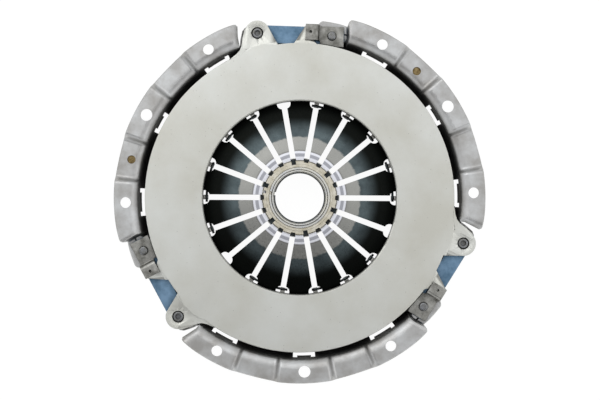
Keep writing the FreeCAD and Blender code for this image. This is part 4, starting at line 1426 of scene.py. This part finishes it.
@dataclass
class Straps:
    """The packs of blued strip that drive the pressure plate and let it lift."""

    leaves: int = 3
    cover_rivet: tuple[float, float] = (127.1, 78.7)
    lug_rivet: tuple[float, float] = (130.6, 104.4)
    clamped: float = 6.0
    cuts: int = 13

    def build(self, shop: Workshop) -> None:
        """Divide each leaf along its length and let it flex between the two rivets.

        Args:
            shop: the shared moves and finishes.
        """
        for k in range(SECTORS):
            near, far = (polar(radius, angle + SECTOR_STEP * k)
                         for radius, angle in (self.cover_rivet, self.lug_rivet))
            along = (far - near).normalized()
            start, end = near + along * self.clamped * MM, far - along * self.clamped * MM
            for number in range(self.leaves):
                node = "strap_%d_leaf_%d" % (k + 1, number + 1)
                piece = shop.carried_copy(node, "flexing_" + node)
                for cut in range(self.cuts):
                    place = start.lerp(end, cut / (self.cuts - 1))
                    with shop.editing(piece, "VERT", lambda vertex: True):
                        bpy.ops.mesh.bisect(plane_co=place, plane_no=along)
                shop.dress(piece, shop.blued_strip)
                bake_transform(piece, "cover", "pressure_plate", start, end)
                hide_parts(node)
                log.info("%s flexes", piece.name)


@dataclass
class Studio:
    """The plain floor, the soft light and the camera over the friction face."""

    camera_height: float = 1.45
    pixel_mm: float = 0.7657
    frame_width: int = 600
    axis_px: tuple[float, float] = (299.6, 197.7)
    centre_px: tuple[float, float] = (300.0, 200.0)
    tent: tuple[tuple[float, float], ...] = (
        (0.0, 0.66), (0.25, 0.76), (0.45, 0.86), (0.65, 0.86), (0.82, 0.91), (1.0, 0.93))
    dim_from: float = -0.17
    side_levels: tuple[float, float] = (0.14, 1.30)
    even_level: float = 1.05
    overhead: tuple[float, float] = (0.74, 0.92)
    softboxes: tuple[tuple[str, tuple[float, float, float], float, float], ...] = (
        ("key softbox", (-0.45, 0.60, 1.05), 0.8, 1.8),
        ("fill softbox", (0.7, -0.2, 1.0), 0.7, 0.8))

    def floor(self) -> None:
        """Lay the white floor just under the cover's back."""
        bpy.ops.object.select_all(action="DESELECT")
        low = CAD_BOX[0][2]
        bpy.ops.mesh.primitive_plane_add(size=6.0, location=(0.0, 0.0, low - 0.0002))
        floor = bpy.context.active_object
        floor.name = "floor"
        material = bpy.data.materials.new("white studio floor")
        tree = bare_tree(material)
        seen = self.rays(tree, "Is Camera Ray", "Is Glossy Ray", "Is Transmission Ray")
        share = reckon(tree, "MULTIPLY", seen, 0.9)
        matte = add_node(tree, "ShaderNodeBsdfDiffuse", {"Color": Tone.STUDIO.linear()})
        glow = add_node(tree, "ShaderNodeEmission",
                        {"Color": Tone.STUDIO.linear(), "Strength": 1.05})
        mix = add_node(tree, "ShaderNodeMixShader",
                       {0: share, 1: matte.outputs[0], 2: glow.outputs[0]})
        add_node(tree, "ShaderNodeOutputMaterial", {"Surface": mix.outputs[0]})
        floor.data.materials.append(material)

    @staticmethod
    def rays(tree: Tree, *kinds: str) -> Socket:
        """Say whether a ray is of one of some kinds.

        Args:
            tree: the node tree.
            kinds: names of the light path's outputs.

        Returns:
            A socket that is 1 for such a ray.
        """
        path = add_node(tree, "ShaderNodeLightPath")
        found = path.outputs[kinds[0]]
        for kind in kinds[1:]:
            found = reckon(tree, "MAXIMUM", found, path.outputs[kind])
        return found

    def sky(self) -> None:
        """Light the scene from a white tent that grows brighter from the horizon up.

        Overhead it is dimmer towards -Y, where the photographer stands.
        """
        world = bpy.data.worlds.new("light tent")
        bpy.context.scene.world = world
        tree = bare_tree(world)
        direction = add_node(tree, "ShaderNodeTexCoord")
        parts = add_node(tree, "ShaderNodeSeparateXYZ", {0: direction.outputs["Generated"]})
        height = add_node(tree, "ShaderNodeFloatCurve", {"Value": parts.outputs["Z"]})
        curve = height.mapping.curves[0]
        for number, (rise, level) in enumerate(self.tent):
            point = curve.points[number] if number < 2 else curve.points.new(rise, level)
            point.location = (rise, level)
        height.mapping.update()
        side = map_range(tree, parts.outputs["Y"], (self.dim_from, 0.0), self.side_levels)
        overhead = map_range(tree, parts.outputs["Z"], self.overhead)
        shade = add_node(tree, "ShaderNodeMix",
                         {"Factor": overhead, "A": self.even_level, "B": side})
        strength = reckon(tree, "MULTIPLY", height.outputs[0], shade.outputs[0])
        tent = add_node(tree, "ShaderNodeBackground",
                        {"Color": Tone.TENT.linear(), "Strength": strength})
        white = add_node(tree, "ShaderNodeBackground",
                         {"Color": Tone.STUDIO.linear(), "Strength": 1.0})
        behind = self.rays(tree, "Is Camera Ray", "Is Transmission Ray")
        mix = add_node(tree, "ShaderNodeMixShader",
                       {0: behind, 1: tent.outputs[0], 2: white.outputs[0]})
        add_node(tree, "ShaderNodeOutputWorld", {"Surface": mix.outputs[0]})

    def lamp(self, name: str, place: tuple[float, float, float], size: float, power: float) -> None:
        """Hang a square softbox that faces the part.

        Args:
            name: the lamp's name.
            place: its place in metres.
            size: its side in metres.
            power: its power in watts.
        """
        light = bpy.data.lights.new(name, "AREA")
        light.size = size
        light.energy = power
        lamp = bpy.data.objects.new(name, light)
        bpy.context.scene.collection.objects.link(lamp)
        lamp.location = place
        lamp.rotation_euler = (-Vector(place)).to_track_quat("-Z", "Y").to_euler()

    def camera(self) -> None:
        """Look straight down the clutch axis at the photograph's scale."""
        lens = bpy.data.cameras.new("camera")
        lens.sensor_width = 36.0
        width = self.frame_width * self.pixel_mm * MM
        lens.lens = lens.sensor_width * self.camera_height / width
        lens.clip_end = 20.0
        camera = bpy.data.objects.new("camera", lens)
        bpy.context.scene.collection.objects.link(camera)
        right = (self.centre_px[0] - self.axis_px[0]) * self.pixel_mm * MM
        down = (self.centre_px[1] - self.axis_px[1]) * self.pixel_mm * MM
        camera.location = (0.0, 0.0, self.camera_height)
        lens.shift_x = right / width
        lens.shift_y = -down / width
        bpy.context.scene.camera = camera

    def build(self) -> None:
        """Set up the whole studio."""
        self.floor()
        self.sky()
        for box in self.softboxes:
            self.lamp(*box)
        self.camera()
        bpy.context.scene.view_settings.view_transform = "Standard"


def main() -> None:
    """Build the sub-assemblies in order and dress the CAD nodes."""
    logging.basicConfig(level=logging.INFO, format="%(name)s: %(message)s")
    shop = Workshop()
    CoverShell().build(shop)
    Plate().build(shop)
    shop.repaint(["fulcrum_ring", "bearing_lock_ring", "wave_washer"], shop.drawn_wire)
    shop.repaint(["stop_clip_%d" % (k + 1) for k in range(SECTORS)], shop.phosphated_clip)
    shop.repaint(["lug_rivets", "cover_rivets"], shop.rivet_steel)
    shop.repaint(["release_collar", "snap_ring"], shop.turned_steel)
    shop.repaint(["thrust_washer"], shop.chromate)
    Straps().build(shop)
    Spring().build(shop)
    Studio().build()


if __name__ == "__main__":
    main()
